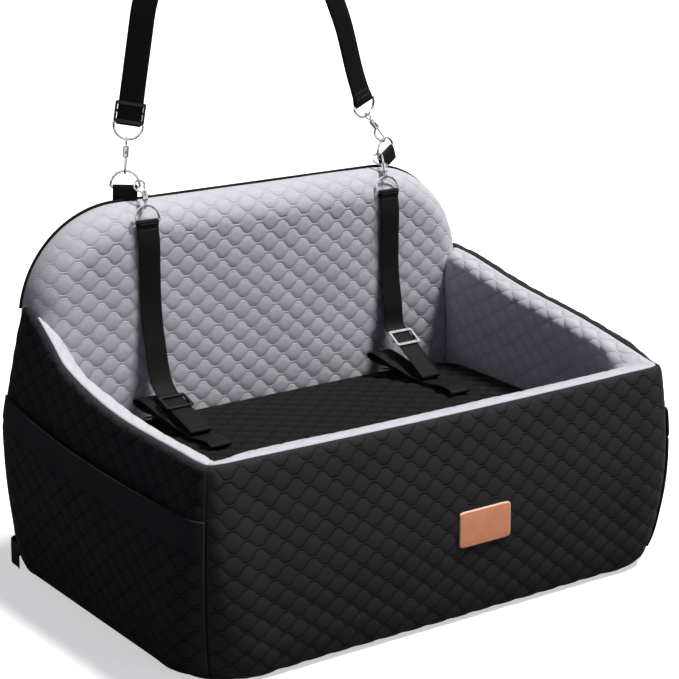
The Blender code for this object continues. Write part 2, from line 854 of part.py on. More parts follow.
def rear_points(x, z):
    """Outer and inner point of the back cover above the side walls."""
    depth, way = outline_depth(x, z)
    swell = face_out(z, BACKREST_HEIGHT) + FACE_EDGE
    across = SHOULDER_ROUND - FACE_EDGE
    if depth >= SHOULDER_ROUND:
        near = min(1.0, (depth - SHOULDER_ROUND) / WALL)
        t = -FACE_EDGE + swell * near
        outer = Vector((x, HALF_DEPTH - t, z))
        return outer, outer - Vector((0.0, SKIN, 0.0))
    share = (SHOULDER_ROUND - depth) / SHOULDER_ROUND
    flat = sqrt(max(0.0, 1 - share * share))
    outer = Vector((x, HALF_DEPTH - across + SHOULDER_ROUND * flat, z))
    return outer, outer - SKIN * (way * share + Vector((0.0, flat, 0.0)))


def rim_half(z):
    """Half width of the back cover's rim at a height."""
    radius = BACKREST_CORNER - SHOULDER_ROUND * (1 - sin(SEAM_ANGLE))
    rise = z - REST_CENTRE_Z
    if rise <= 0:
        return REST_CENTRE_X + radius
    return REST_CENTRE_X + sqrt(max(radius * radius - rise * rise, 0.0))


def shoulder_point(side, corner, beside):
    """Extra point of the rear panel between its corner and the flat, level with the corner."""
    t, z, radius = corner
    x = min(REST_HALF - REAR_COLUMN, HALF_WIDTH - t - radius - REAR_RIM)
    return Vector((side * x, beside.y, z))


def back_cover(name):
    """Rear panel: mitred to the side covers below, rounded over the backrest's rim above."""
    layers = []
    for depth in (0.0, SKIN):
        left = wall_section("left", 1.0, depth, "cover", rear=True)
        right = wall_section("right", 1.0, depth, "cover", rear=True)
        rows = []
        for k in range(len(left)):
            row = [corner_point("rear", -1, angle, left[k]) for angle in CORNER_ANGLES]
            for share in REAR_COLUMN_SHARES:
                x = share * (REST_HALF - REAR_RIM_END)
                z = lerp(left[k][1], right[k][1], (share + 1) / 2)
                if z < BOTTOM_ROUND:
                    t = lerp(left[k][0], right[k][0], (share + 1) / 2)
                    row.append(Vector((x, HALF_DEPTH - t, z)))
                else:
                    t = face_out(z, BACKREST_HEIGHT) + depth
                    row.append(Vector((x, HALF_DEPTH - t, z)))
            row.insert(3, shoulder_point(-1, left[k], row[3]))
            row.append(shoulder_point(1, right[k], row[-1]))
            row += [corner_point("rear", 1, angle, right[k]) for angle in reversed(CORNER_ANGLES)]
            rows.append(row)
        layers.append((rows, left[-1][1], right[-1][1]))
    crest = BACKREST_HEIGHT - SHOULDER_ROUND * (1 - sin(SEAM_ANGLE))
    _, left_top, right_top = layers[0]
    for share in (*REAR_ROW_SHARES, 1.0):
        outer_row = []
        inner_row = []
        ends = (lerp(left_top, crest, share), lerp(right_top, crest, share))
        rims = (rim_half(ends[0]), rim_half(ends[1]))
        places = [(-rims[0], ends[0]), (REAR_RIM - rims[0], ends[0]),
                  (REAR_RIM_END - rims[0], ends[0]), (REAR_COLUMN - rims[0], ends[0])]
        for across in REAR_COLUMN_SHARES:
            part = (across + 1) / 2
            reach = lerp(rims[0], rims[1], part) - REAR_COLUMN
            places.append((across * reach, lerp(ends[0], ends[1], part)))
        places += [(rims[1] - REAR_COLUMN, ends[1]), (rims[1] - REAR_RIM_END, ends[1]),
                   (rims[1] - REAR_RIM, ends[1]), (rims[1], ends[1])]
        for x, z in places:
            outer, inner = rear_points(x, z)
            outer_row.append(outer)
            inner_row.append(inner)
        layers[0][0].append(outer_row)
        layers[1][0].append(inner_row)
    return shell(name, layers[0][0], layers[1][0])


def piping(name):
    offset = PIPING / 2 + FIT
    start = max(wall_top("left", 1.0), wall_top("right", 1.0)) + PIPING_START
    arc = backrest_outline(-offset, start)[1:-1]
    radius = BACKREST_CORNER + offset
    x = REST_CENTRE_X + sqrt(radius ** 2 - (start - REST_CENTRE_Z) ** 2)
    line = [(x, start)] + [point for point in arc if point[1] > start + PIPING] + [(-x, start)]
    return wire(name, [(x, SEAM_Y, z) for x, z in line], PIPING)


# Base and cushion

def base_outline():
    cover = wall_section("left", 1.0, SKIN, "cover", rear=True)
    t, z, radius = cover[0]
    edge = t + BASE_SEAM
    return rounded_outline(HALF_WIDTH - edge, edge - HALF_DEPTH, HALF_DEPTH - edge,
                           radius - BASE_SEAM)


def base_parts():
    edge = WALL - FOAM_DEPTH + BASE_SEAM
    rear = backrest_face(FOAM_FLOOR) + SKIN
    inside = rounded_outline(HALF_WIDTH - edge, edge - HALF_DEPTH, rear, BASE_FOAM_CORNER)
    lining = WALL + BASE_SEAM
    deck = rounded_outline(HALF_WIDTH - lining, lining - HALF_DEPTH,
                           backrest_face(DECK_HEIGHT) - BASE_SEAM, DECK_CORNER)
    return (plate("base_cover", base_outline(), 0.0, BASE_SKIN),
            plate("base_board", base_outline(), BASE_TOP, BASE_TOP + BOARD),
            plate("base_foam", inside, FOAM_FLOOR, DECK_HEIGHT),
            plate("deck_cover", deck, DECK_HEIGHT + FIT, DECK_HEIGHT + FIT + DECK))


def cushion_point(u, v, half_x, front, rear):
    """A square grid position drawn to a rectangle with rounded corners."""
    power = CUSHION_SQUARENESS
    reach = (abs(u) ** power + abs(v) ** power) ** (1 / power)
    size = max(abs(u), abs(v))
    scale = size / reach if reach else 1.0
    x = u * scale * half_x
    y = lerp(front, rear, (v * scale + 1) / 2)
    return x, y


def cushion(name):
    """Boxed cushion with a crown, drawn-in sides and quilting channels."""
    half_x = HALF_WIDTH - WALL - CUSHION_FIT
    front = WALL - HALF_DEPTH + CUSHION_FIT
    rear = backrest_face(CUSHION_FLOOR) - CUSHION_FIT
    bm = bmesh.new()
    columns = CUSHION_COLUMNS
    rows = CUSHION_ROWS
    edge = CUSHION_FLOOR + CUSHION_EDGE_HEIGHT
    grid = []
    for i in range(rows + 1):
        line = []
        v = 2 * i / rows - 1
        for j in range(columns + 1):
            u = 2 * j / columns - 1
            x, y = cushion_point(u, v, half_x, front, rear)
            crown = 1 - max(abs(u), abs(v)) ** 4
            quilt = CUSHION_QUILT if (i + j) % 2 else -CUSHION_QUILT
            rim = i in (0, rows) or j in (0, columns)
            z = edge if rim else edge + CUSHION_CROWN * (0.4 + 0.6 * crown) + quilt
            line.append(bm.verts.new((x, y, z)))
        grid.append(line)
    for i in range(rows):
        for j in range(columns):
            bm.faces.new((grid[i][j], grid[i][j + 1], grid[i + 1][j + 1], grid[i + 1][j]))
    loop = [grid[0][j] for j in range(columns)]
    loop += [grid[i][columns] for i in range(rows)]
    loop += [grid[rows][j] for j in range(columns, 0, -1)]
    loop += [grid[i][0] for i in range(rows, 0, -1)]
    centre_y = (front + rear) / 2
    last = loop
    for share, draw in ((0.5, CUSHION_DRAW), (0.0, CUSHION_DRAW / 3)):
        ring = []
        for vert in loop:
            x, y, z = vert.co
            x_side = 1 - draw / half_x
            y_side = 1 - draw / ((rear - front) / 2)
            ring.append(bm.verts.new((x * x_side, centre_y + (y - centre_y) * y_side,
                                      lerp(CUSHION_FLOOR, edge, share))))
        for j in range(len(loop)):
            k = (j + 1) % len(loop)
            bm.faces.new((last[j], last[k], ring[k], ring[j]))
        last = ring
    bm.faces.new(last)
    return finish_mesh(name, bm, SMOOTH)


# Pockets and patch

def pocket(name, side):
    """Panel over the side cover, sewn below and at both ends, open along the top."""
    columns = {0: [], 1: []}
    front = pocket_rows(side, 0.0, False, 0.0)
    last = pocket_rows(side, 1.0, True, 0.0)
    for angle in CORNER_ANGLES:
        for layer in (0, 1):
            rows = [offset_row(row, layer) for row in front]
            columns[layer].append([corner_point(side, -1, angle, row) for row in rows])
    for share in STATION_SHARES[1:-1]:
        swell = sin(pi * share) ** 0.6
        rows = pocket_rows(side, share, False, swell)
        for layer in (0, 1):
            column = []
            for k, row in enumerate(rows):
                t, z, radius = offset_row(row, layer)
                s = lerp(-tangent(side, [r[:3] for r in front], k),
                         tangent(side, [r[:3] for r in last], k), share)
                column.append(place(side, s, t, z))
            columns[layer].append(column)
    for angle in reversed(CORNER_ANGLES[1:]):
        for layer in (0, 1):
            rows = [offset_row(row, layer) for row in last]
            columns[layer].append([corner_point(side, 1, angle, row) for row in rows])
    return shell(name, columns[1], columns[0])


def offset_row(row, layer):
    t, z, radius, gap = row
    out = gap + POCKET * layer
    return t - out, z, radius + out


def pocket_rows(side, share, rear, swell):
    """Rows of the cover's outer face up to the pocket's mouth, with the gap at each."""
    cover = wall_section(side, share, 0.0, "cover", rear)
    mouth = POCKET_HEIGHT + POCKET_REAR_RISE * share ** 3
    rows = cover[2:4 + len(FACE_ROWS)]
    low, high = cover[3 + len(FACE_ROWS)], cover[4 + len(FACE_ROWS)]
    part = (mouth - low[1]) / (high[1] - low[1])
    rows.append(tuple(lerp(a, b, part) for a, b in zip(low, high)))
    made = []
    for k, (t, z, radius) in enumerate(rows):
        climb = k / (len(rows) - 1)
        made.append((t, z, radius, 2 * FIT + POCKET_SLACK * swell * climb ** 2))
    return made


def patch(name):
    """Leather patch that follows the bulge of the front."""
    outer = []
    inner = []
    top = wall_top("front", MIDDLE_SHARE)
    for row in range(4):
        z = PATCH_Z + PATCH_HEIGHT * (row / 3 - 1 / 2)
        line_out = []
        line_in = []
        for column in range(4):
            x = PATCH_X + PATCH_WIDTH * (column / 3 - 1 / 2)
            t = face_out(z, top) - 3 * FIT
            line_in.append((x, t - HALF_DEPTH, z))
            line_out.append((x, t - PATCH - HALF_DEPTH, z))
        outer.append(line_out)
        inner.append(line_in)
    return shell(name, outer, inner)


# Webbing

def band(name, centres, across, width=WEBBING_WIDTH, thickness=WEBBING):
    """Flat webbing along a line; across gives its width direction at each point."""
    rings = []
    for i, centre in enumerate(centres):
        before = centres[max(i - 1, 0)]
        after = centres[min(i + 1, len(centres) - 1)]
        one = centre - before if i else after - centre
        two = after - centre if i < len(centres) - 1 else one
        one = one.normalized()
        two = two.normalized()
        along = (one + two).normalized()
        side = across[i] - along * across[i].dot(along)
        side = side.normalized() * width / 2
        normal = side.cross(along).normalized()
        normal = normal * (thickness / 2) / max(along.dot(one), 0.6)
        rings.append([centre - side - normal, centre + side - normal,
                      centre + side + normal, centre - side + normal])
    return ring_loft(name, rings, radians(40))


def arc_points(centre, radius, start, sweep, steps):
    """Arc in a plane; centre and results are pairs."""
    points = []
    for step in range(steps + 1):
        angle = start + sweep * step / steps
        points.append((centre[0] + radius * cos(angle), centre[1] + radius * sin(angle)))
    return points


# Frames of the hardware

def frame_of(origin, x_way, y_way, z_way):
    made = Matrix.Identity(4)
    for column, way in enumerate((x_way, y_way, z_way, origin)):
        for row in range(3):
            made[row][column] = way[row]
    return made


def leaning(origin, turn, lean):
    """Frame turned about Z and then leaned in its own X-Z plane."""
    return Matrix.Translation(origin) @ Matrix.Rotation(turn, 4, "Z") @ Matrix.Rotation(lean, 4, "Y")


FLIP = Matrix.Rotation(pi, 4, "Y")


def ring_line(angle):
    """Point of a D-ring's wire at an angle along its arc, in the ring's own frame."""
    half = RING_SPAN / 2
    return Vector((half * cos(angle), 0.0, RING_CORNER + (RING_HEIGHT - RING_CORNER) * sin(angle)))


def ring_shape():
    """D-ring: a straight bar on the X axis and an arc above it."""
    half = RING_SPAN / 2 - RING_CORNER
    points = [Vector((-half, 0.0, 0.0)), Vector((half, 0.0, 0.0))]
    points += [ring_line(pi * step / RING_STEPS) for step in range(RING_STEPS + 1)]
    return wire("ring_shape", points, RING_WIRE, cyclic=True)


# Swivel bolt snap, hanging down the Z axis from the wire of the upper ring

HOOK_DEPTH = sqrt(SNAP_REACH ** 2 - BOLT_OFFSET ** 2)
BOWL_Z = BOWL_DROP - HOOK_DEPTH
BARREL_END = BARREL_TOP + BARREL_LENGTH
STEM_TOP = EYE_GAP + RING_WIRE / 2 - EYE_BORE - EYE_WIRE / 2
HEAD_TOP = -BARREL_TOP - COLLAR - METAL_GAP
BOLT_TIP = BOWL_Z + NOSE_RISE + METAL_GAP
BOLT_HEAD_LOW = BOLT_SEAT - BARREL_END
THUMB_Z = BOLT_HEAD_LOW + BOLT_HEAD_LENGTH / 2


def snap_shape():
    """Barrel and open hook in one casting."""
    body = cylinder("snap_shape", BARREL_WIDTH, -BARREL_END, -BARREL_TOP, chamfer=BARREL_CHAMFER)
    rise = -BARREL_END - BOWL_Z
    points = []
    for across, up in reversed(SPINE_SHARES):
        points.append((-2 * BOLT_OFFSET * across, 0.0, BOWL_Z + rise * up))
    bowl = arc_points((-BOLT_OFFSET, BOWL_Z), BOLT_OFFSET, pi, pi, BOWL_STEPS)
    points += [(x, 0.0, z) for x, z in bowl]
    points.append((0.0, 0.0, BOWL_Z + NOSE_RISE))
    combine(body, wire("hook_tool", points, HOOK_WIRE), "UNION")
    bore_top = -BARREL_TOP - COLLAR
    combine(body, cylinder("bore_tool", BARREL_BORE, -BARREL_END - COLLAR, bore_top), "DIFFERENCE")
    combine(body, cylinder("collar_tool", COLLAR_BORE, bore_top - COLLAR, 0.0), "DIFFERENCE")
    room = THUMB_WIDTH / 2 + METAL_GAP
    low = THUMB_Z - THUMB_LENGTH / 2 - METAL_GAP
    high = THUMB_Z + THUMB_LENGTH / 2 + BOLT_TRAVEL + METAL_GAP
    combine(body, box("slot_tool", (0.0, -room, low), (BARREL_WIDTH, room, high)), "DIFFERENCE")
    soften(body, radians(40))
    return body


def eye_shape():
    """Swivel eye: loop, stem and the head that holds it under the collar."""
    radius = (EYE_BORE + EYE_WIRE) / 2
    centre = EYE_GAP + RING_WIRE / 2 - EYE_BORE / 2
    loop = arc_points((0.0, centre), radius, pi / 2, 2 * pi, EYE_STEPS)[:-1]
    eye = wire("eye_shape", [(x, 0.0, z) for x, z in loop], EYE_WIRE, cyclic=True)
    combine(eye, cylinder("stem_tool", STEM, HEAD_TOP - METAL_GAP, STEM_TOP, BOLT_SIDES), "UNION")
    head = cylinder("head_tool", STEM_HEAD, HEAD_TOP - STEM_HEAD_THICKNESS, HEAD_TOP, BOLT_SIDES)
    combine(eye, head, "UNION")
    soften(eye, radians(40))
    return eye


def bolt_shape():
    """Spring bolt with its thumb knob."""
    head_top = BOLT_HEAD_LOW + BOLT_HEAD_LENGTH
    bolt = cylinder("bolt_shape", BOLT_HEAD, BOLT_HEAD_LOW, head_top, BOLT_SIDES)
    rod = cylinder("rod_tool", BOLT_ROD, BOLT_TIP, BOLT_HEAD_LOW + BOLT_SEAT, BOLT_SIDES)
    combine(bolt, rod, "UNION")
    half = THUMB_WIDTH / 2
    low = (0.0, -half, THUMB_Z - THUMB_LENGTH / 2)
    high = (THUMB_REACH - THUMB_KNOB_THICKNESS / 2, half, THUMB_Z + THUMB_LENGTH / 2)
    combine(bolt, box("thumb_tool", low, high), "UNION")
    knob = cylinder("knob_tool", THUMB_KNOB, THUMB_REACH - THUMB_KNOB_THICKNESS, THUMB_REACH,
                    BOLT_SIDES)
    turn = Matrix.Translation((0.0, 0.0, THUMB_Z)) @ Matrix.Rotation(pi / 2, 4, "Y")
    knob.data.transform(turn)
    combine(bolt, knob, "UNION")
    soften(bolt, radians(40))
    return bolt


def snap_frames(hook_at, eye_at, hooked_wire, eye_wire):
    """Frames of the snap body and its eye between two ring wires."""
    reach = (eye_at - hook_at).length
    depth = sqrt(reach * reach - BOLT_OFFSET * BOLT_OFFSET)
    pull = (eye_at - hook_at).normalized()
    across = hooked_wire - pull * hooked_wire.dot(pull)
    gate = across.normalized().cross(pull)
    z_way = (depth * pull - BOLT_OFFSET * gate) / reach
    x_way = (BOLT_OFFSET * pull + depth * gate) / reach
    body = frame_of(eye_at, x_way, z_way.cross(x_way), z_way)
    y_way = (eye_wire - z_way * eye_wire.dot(z_way)).normalized()
    return body, frame_of(eye_at, y_way.cross(z_way), y_way, z_way)


# Sliders

def slider_shape():
    """Frame in front of the webbing with a set-back centre bar behind it; Y is the normal."""
    front = WEBBING / 2 + WEBBING_GAP
    half_x = SLIDER_WIDTH / 2
    half_z = SLIDER_HEIGHT / 2
    outer = rounded_outline(half_x, -half_z, half_z, SLIDER_CORNER)
    frame = plate("slider_shape", outer, front, front + SLIDER_PLATE)
    inner = rounded_outline(half_x - SLIDER_RAIL, SLIDER_BAR - half_z, half_z - SLIDER_BAR,
                            SLIDER_EDGE, steps=1)
    combine(frame, plate("window_tool", inner, 0.0, front + WALL), "DIFFERENCE")
    back = front + SLIDER_CENTRE_PLATE
    bar = SLIDER_CENTRE_BAR / 2
    edge = half_x - SLIDER_EDGE / 4
    for sign in (-1, 1):
        near = sign * (half_x - SLIDER_RAIL)
        far = sign * edge
        low = (min(near, far), -bar, -back)
        high = (max(near, far), bar, front + SLIDER_PLATE - SLIDER_EDGE)
        combine(frame, box("post_tool", low, high), "UNION")
    combine(frame, box("bar_tool", (SLIDER_EDGE - edge, SLIDER_EDGE - bar, -back + SLIDER_EDGE / 8),
                       (edge - SLIDER_EDGE, bar - SLIDER_EDGE, -front)), "UNION")
    frame.data.transform(Matrix.Rotation(pi / 2, 4, "X"))
    soften(frame, radians(40))
    return frame


# Headrest strap and its chain of hardware

class Chain:
    """Frames along one side of the headrest strap."""

    def __init__(self, x, turns, leans):
        turn, snap_turn, strand_turn = turns
        ring_lean, snap_lean, strand_lean = leans
        self.ring = leaning((x, SEAM_Y, BACKREST_HEIGHT + TAB_RISE), turn, ring_lean)
        self.hook_at = self.ring @ ring_line(pi / 2)
        way = leaning((0.0, 0.0, 0.0), snap_turn, snap_lean)
        reach = hypot(HOOK_DEPTH + STRAP_PULL, BOLT_OFFSET)
        self.eye_at = self.hook_at + way @ Vector((0.0, 0.0, reach))
        strand = leaning((0.0, 0.0, 0.0), strand_turn, strand_lean)
        bar = self.eye_at + strand @ Vector((0.0, 0.0, RING_HEIGHT))
        self.strand = leaning(bar, strand_turn, strand_lean)
        self.strap_ring = self.strand @ FLIP
        wire_way = self.ring.to_3x3() @ Vector((1.0, 0.0, 0.0))
        strap_way = self.strand.to_3x3() @ Vector((1.0, 0.0, 0.0))
        self.snap, self.eye = snap_frames(self.hook_at, self.eye_at, wire_way, strap_way)


LEFT = Chain(LEFT_TAB_X, (LEFT_TURN, LEFT_TURN, LEFT_TURN),
             (LEFT_RING_LEAN, LEFT_SNAP_LEAN, LEFT_STRAND_LEAN))
RIGHT = Chain(RIGHT_TAB_X, (RIGHT_TURN, RIGHT_SNAP_TURN, RIGHT_STRAND_TURN),
              (RIGHT_RING_LEAN, RIGHT_SNAP_LEAN, RIGHT_STRAND_LEAN))


def ring_tab(name, chain):
    """Webbing folded over a ring's bar, its two feet astride the piping."""
    inner = RING_WIRE / 2 + WEBBING_GAP
    outer = inner + WEBBING
    foot = BACKREST_HEIGHT + TAB_FOOT
    down = chain.ring.to_3x3() @ Vector((0.0, 0.0, -1.0))
    half = WEBBING_WIDTH / 2

    def corners(angle, drop):
        ring = []
        for x, radius in ((-half, inner), (half, inner), (half, outer), (-half, outer)):
            point = chain.ring @ Vector((x, -radius * cos(angle), radius * sin(angle)))
            if drop:
                point = point + down * ((point.z - foot) / -down.z)
            ring.append(point)
        return ring

    rings = [corners(0.0, True)]
    rings += [corners(pi * step / 6, False) for step in range(7)]
    rings.append(corners(pi, True))
    tab = ring_loft(name, rings, radians(40))
    z = BACKREST_HEIGHT + PIPING / 2 + FIT
    reach = WEBBING_WIDTH
    x = chain.ring.translation.x
    room = wire("notch_tool", [(x - reach, SEAM_Y, z), (x + reach, SEAM_Y, z)], PIPING + 3 * FIT)
    combine(tab, room, "DIFFERENCE")
    soften(tab, radians(40))
    return tab


def loop_round_bar(steps=6):
    """Webbing round a ring bar that lies on X: from behind, below the bar, to the front."""
    radius = RING_WIRE / 2 + WEBBING_GAP + WEBBING / 2
    return arc_points((0.0, 0.0), radius, 0.0, -pi, steps)


def strap_webbing(name):
    """Strap from the slider side over the arch to the sewn side."""
    centres = []
    across = []
    radius = RING_WIRE / 2 + WEBBING_GAP + WEBBING / 2
    left_x = LEFT.strand.to_3x3() @ Vector((1.0, 0.0, 0.0))
    line = [(radius, STRAP_TAIL)] + loop_round_bar() + [(-radius, STRAND_LENGTH)]
    for y, z in line:
        centres.append(LEFT.strand @ Vector((0.0, y, z)))
        across.append(left_x)
    right_line = [(-SEWN_GAP, STRAND_LENGTH), (-SEWN_GAP, 2 * SEWN_START), (-radius, 0.0)]
    right_line += list(reversed(loop_round_bar()))[1:-1]
    right_line += [(radius, 0.0), (SEWN_GAP, 2 * SEWN_START), (SEWN_GAP, STRAP_SEWN)]
    right = [RIGHT.strand @ Vector((0.0, y, z)) for y, z in right_line]
    right_x = RIGHT.strand.to_3x3() @ Vector((-1.0, 0.0, 0.0))
    left_up = LEFT.strand.to_3x3() @ Vector((0.0, 0.0, 1.0))
    right_up = RIGHT.strand.to_3x3() @ Vector((0.0, 0.0, 1.0))
    knots = (centres[-1], centres[-1] + left_up * ARCH_REACH, right[0] + right_up * ARCH_REACH,
             right[0])
    for step in range(1, ARCH_STEPS):
        share = step / ARCH_STEPS
        rest = 1 - share
        point = (knots[0] * rest ** 3 + knots[1] * (3 * rest * rest * share)
                 + knots[2] * (3 * rest * share * share) + knots[3] * share ** 3)
        centres.append(point)
        smooth = share * share * (3 - 2 * share)
        yaw = lerp(LEFT_TURN, RIGHT_STRAND_TURN - pi, smooth)
        across.append(Vector((cos(yaw), sin(yaw), 0.0)))
    centres += right
    across += [right_x] * len(right)
    return band(name, centres, across)


# Tethers

def on_seat(before, above):
    """Y and Z of a point in front of the backrest's face and above the seat."""
    return BACKREST_FACE - before, SEAT_TOP + above


class Tether:
    """Frames and line of one tether."""

    def __init__(self, chain, end, shift, drop, lean, bend, low, folds, back_shift, place_share):
        angles = (0.0, pi / RING_STEPS) if end > 0 else (pi, pi - pi / RING_STEPS)
        corner, above = (chain.ring @ ring_line(angle) for angle in angles)
        self.hook_at = corner.lerp(above, HOOK_PLACE_SHARE)
        wire_way = (above - corner).normalized()
        run = sqrt(SNAP_REACH ** 2 - shift ** 2 - drop ** 2)
        self.eye_at = self.hook_at + Vector((shift, -run, -drop))
        up = Vector((0.0, sin(lean), cos(lean)))
        across = Vector((1.0, 0.0, 0.0))
        bar = self.eye_at - up * RING_HEIGHT
        self.ring = frame_of(bar, across, up.cross(across), up)
        self.snap, self.eye = snap_frames(self.hook_at, self.eye_at, wire_way, across)
        self.x = bar.x
        self.bar = bar
        self.bend = on_seat(*bend)
        self.low = on_seat(*low)
        self.folds = folds
        self.back_shift = back_shift
        start = Vector((self.x, *self.low))
        end_at = Vector((self.x, *on_seat(folds[0], FOLD_ONE_HEIGHT + FOLD_ONE_ROUND)))
        along = (start - end_at).normalized()
        centre = end_at + (start - end_at) * place_share
        self.along = along
        self.slider = frame_of(centre, across, along.cross(across), along)

    def line(self):
        """Centre line from the sewn end behind the ring to the crease, as (x shift, y, z)."""
        y, z = self.bar.y, self.bar.z
        radius = RING_WIRE / 2 + WEBBING_GAP + WEBBING / 2
        sewn_z = z - TETHER_SEWN
        sewn_y = backrest_face(sewn_z) - TETHER_STANDOFF
        start_z = z - SEWN_START
        start_y = lerp(y, sewn_y, SEWN_START / TETHER_SEWN)
        points = [(sewn_y + SEWN_GAP, sewn_z), (start_y + SEWN_GAP, start_z)]
        points += arc_points((y, z), radius, 0.0, pi, 6)
        points += [(start_y - SEWN_GAP, start_z), (sewn_y - SEWN_GAP, sewn_z)]
        for share in (0.33, 0.67):
            middle = lerp(sewn_z, self.bend[1], share)
            points.append((backrest_face(middle) - TETHER_STANDOFF, middle))
        points += [self.bend, self.low]
        made = [(0.0, y, z) for y, z in points]
        fold_one, fold_two = self.folds
        one = arc_points(on_seat(fold_one, FOLD_ONE_HEIGHT), FOLD_ONE_ROUND, pi / 2, pi, 4)
        made += [(0.0, y, z) for y, z in one]
        turn = arc_points(on_seat(TETHER_BACK, TURN_HEIGHT), TURN_ROUND, pi / 2, -pi, 4)
        middle = on_seat(lerp(fold_one, TETHER_BACK, MIDDLE_SHARE),
                         lerp(FOLD_ONE_HEIGHT, TURN_HEIGHT, TURN_SAG_SHARE))
        made.append((self.back_shift / 2, middle[0], middle[1] + SEWN_GAP))
        made += [(self.back_shift, y, z) for y, z in turn]
        made.append((self.back_shift / 2, middle[0], middle[1] - 2 * SEWN_GAP))
        made.append((0.0, *on_seat(fold_one, LAYER_MIDDLE)))
        two = arc_points(on_seat(fold_two, FOLD_TWO_HEIGHT), FOLD_TWO_ROUND, pi / 2, pi, 4)
        made += [(0.0, y, z) for y, z in two]
        made.append((0.0, *on_seat(fold_one, LAYER_LOW)))
        made.append((0.0, *on_seat(TETHER_CREASE, LAYER_LOW)))
        made.append((0.0, *on_seat(*TETHER_END)))
        return made


LEFT_TETHER = Tether(LEFT, 1, LEFT_TETHER_SHIFT, LEFT_TETHER_DROP, LEFT_TETHER_LEAN,
                     LEFT_TETHER_BEND, LEFT_TETHER_LOW, (LEFT_FOLD_ONE, LEFT_FOLD_TWO),
                     LEFT_BACK_SHIFT, LEFT_SLIDER_SHARE)
RIGHT_TETHER = Tether(RIGHT, -1, RIGHT_TETHER_SHIFT, RIGHT_TETHER_DROP, RIGHT_TETHER_LEAN,
                      RIGHT_TETHER_BEND, RIGHT_TETHER_LOW, (RIGHT_FOLD_ONE, RIGHT_FOLD_TWO),
                      RIGHT_BACK_SHIFT, RIGHT_SLIDER_SHARE)


def tether_webbing(name, tether):
    centres = [Vector((tether.x + shift, y, z)) for shift, y, z in tether.line()]
    return band(name, centres, [Vector((1.0, 0.0, 0.0))] * len(centres))


def belt_loop(name, sign):
    """Webbing loop round a lower rear corner, its width upright."""
    side = "left" if sign < 0 else "right"
    cover = wall_section(side, 1.0, 0.0, "cover", rear=True)
    t, z, radius = cover[3]
    centre = Vector((sign * (HALF_WIDTH - t - radius), HALF_DEPTH - t - radius, BELT_LOOP_HEIGHT))
    middle = pi / 4 if sign > 0 else 3 * pi / 4
    points = []
    for step in range(BELT_LOOP_STEPS + 1):
        share = 2 * step / BELT_LOOP_STEPS - 1
        angle = middle + share * BELT_LOOP_SWEEP
        out = WEBBING + FIT + BELT_LOOP_ROOM * cos(share * pi / 2) ** 2
        way = Vector((cos(angle), sin(angle), 0.0))
        points.append(centre + way * (radius + out))
    return band(name, points, [Vector((0.0, 0.0, 1.0))] * len(points))


# Assembly

def soft(name, colour, roughness=0.9):
    return material(name + "_finish", colour, roughness)


def metal(name, colour, roughness):
    return material(name + "_finish", colour, roughness, 1.0)


def build_body():
    for made in base_parts():
        colour = {"base_board": BOARD_COLOUR, "base_foam": FOAM_COLOUR}.get(made.name, BLACK_FABRIC)
        into_parts(made, soft(made.name, colour))
    for side in ("front", "left", "right"):
        into_parts(wall_foam(side + "_foam", side), soft(side + "_foam", FOAM_COLOUR))
        into_parts(wall_skin(side + "_cover", side, "cover"), soft(side + "_cover", BLACK_FABRIC))
        into_parts(wall_skin(side + "_lining", side, "lining"), soft(side + "_lining", GREY_FABRIC))
    into_parts(backrest_foam("backrest_foam"), soft("backrest_foam", FOAM_COLOUR))
    into_parts(backrest_lining("backrest_lining"), soft("backrest_lining", GREY_FABRIC))
    into_parts(back_cover("back_cover"), soft("back_cover", BLACK_FABRIC))
    into_parts(piping("backrest_piping"), soft("backrest_piping", BLACK_WEBBING, 0.6))
    into_parts(cushion("seat_cushion"), soft("seat_cushion", BLACK_FABRIC))
    for side in ("left", "right"):
        into_parts(pocket(side + "_pocket", side), soft(side + "_pocket", BLACK_FABRIC))
    into_parts(patch("leather_patch"), soft("leather_patch", TAN_LEATHER, 0.5))
    for sign, side in ((-1, "left"), (1, "right")):
        name = side + "_belt_loop"
        into_parts(belt_loop(name, sign), soft(name, BLACK_WEBBING))


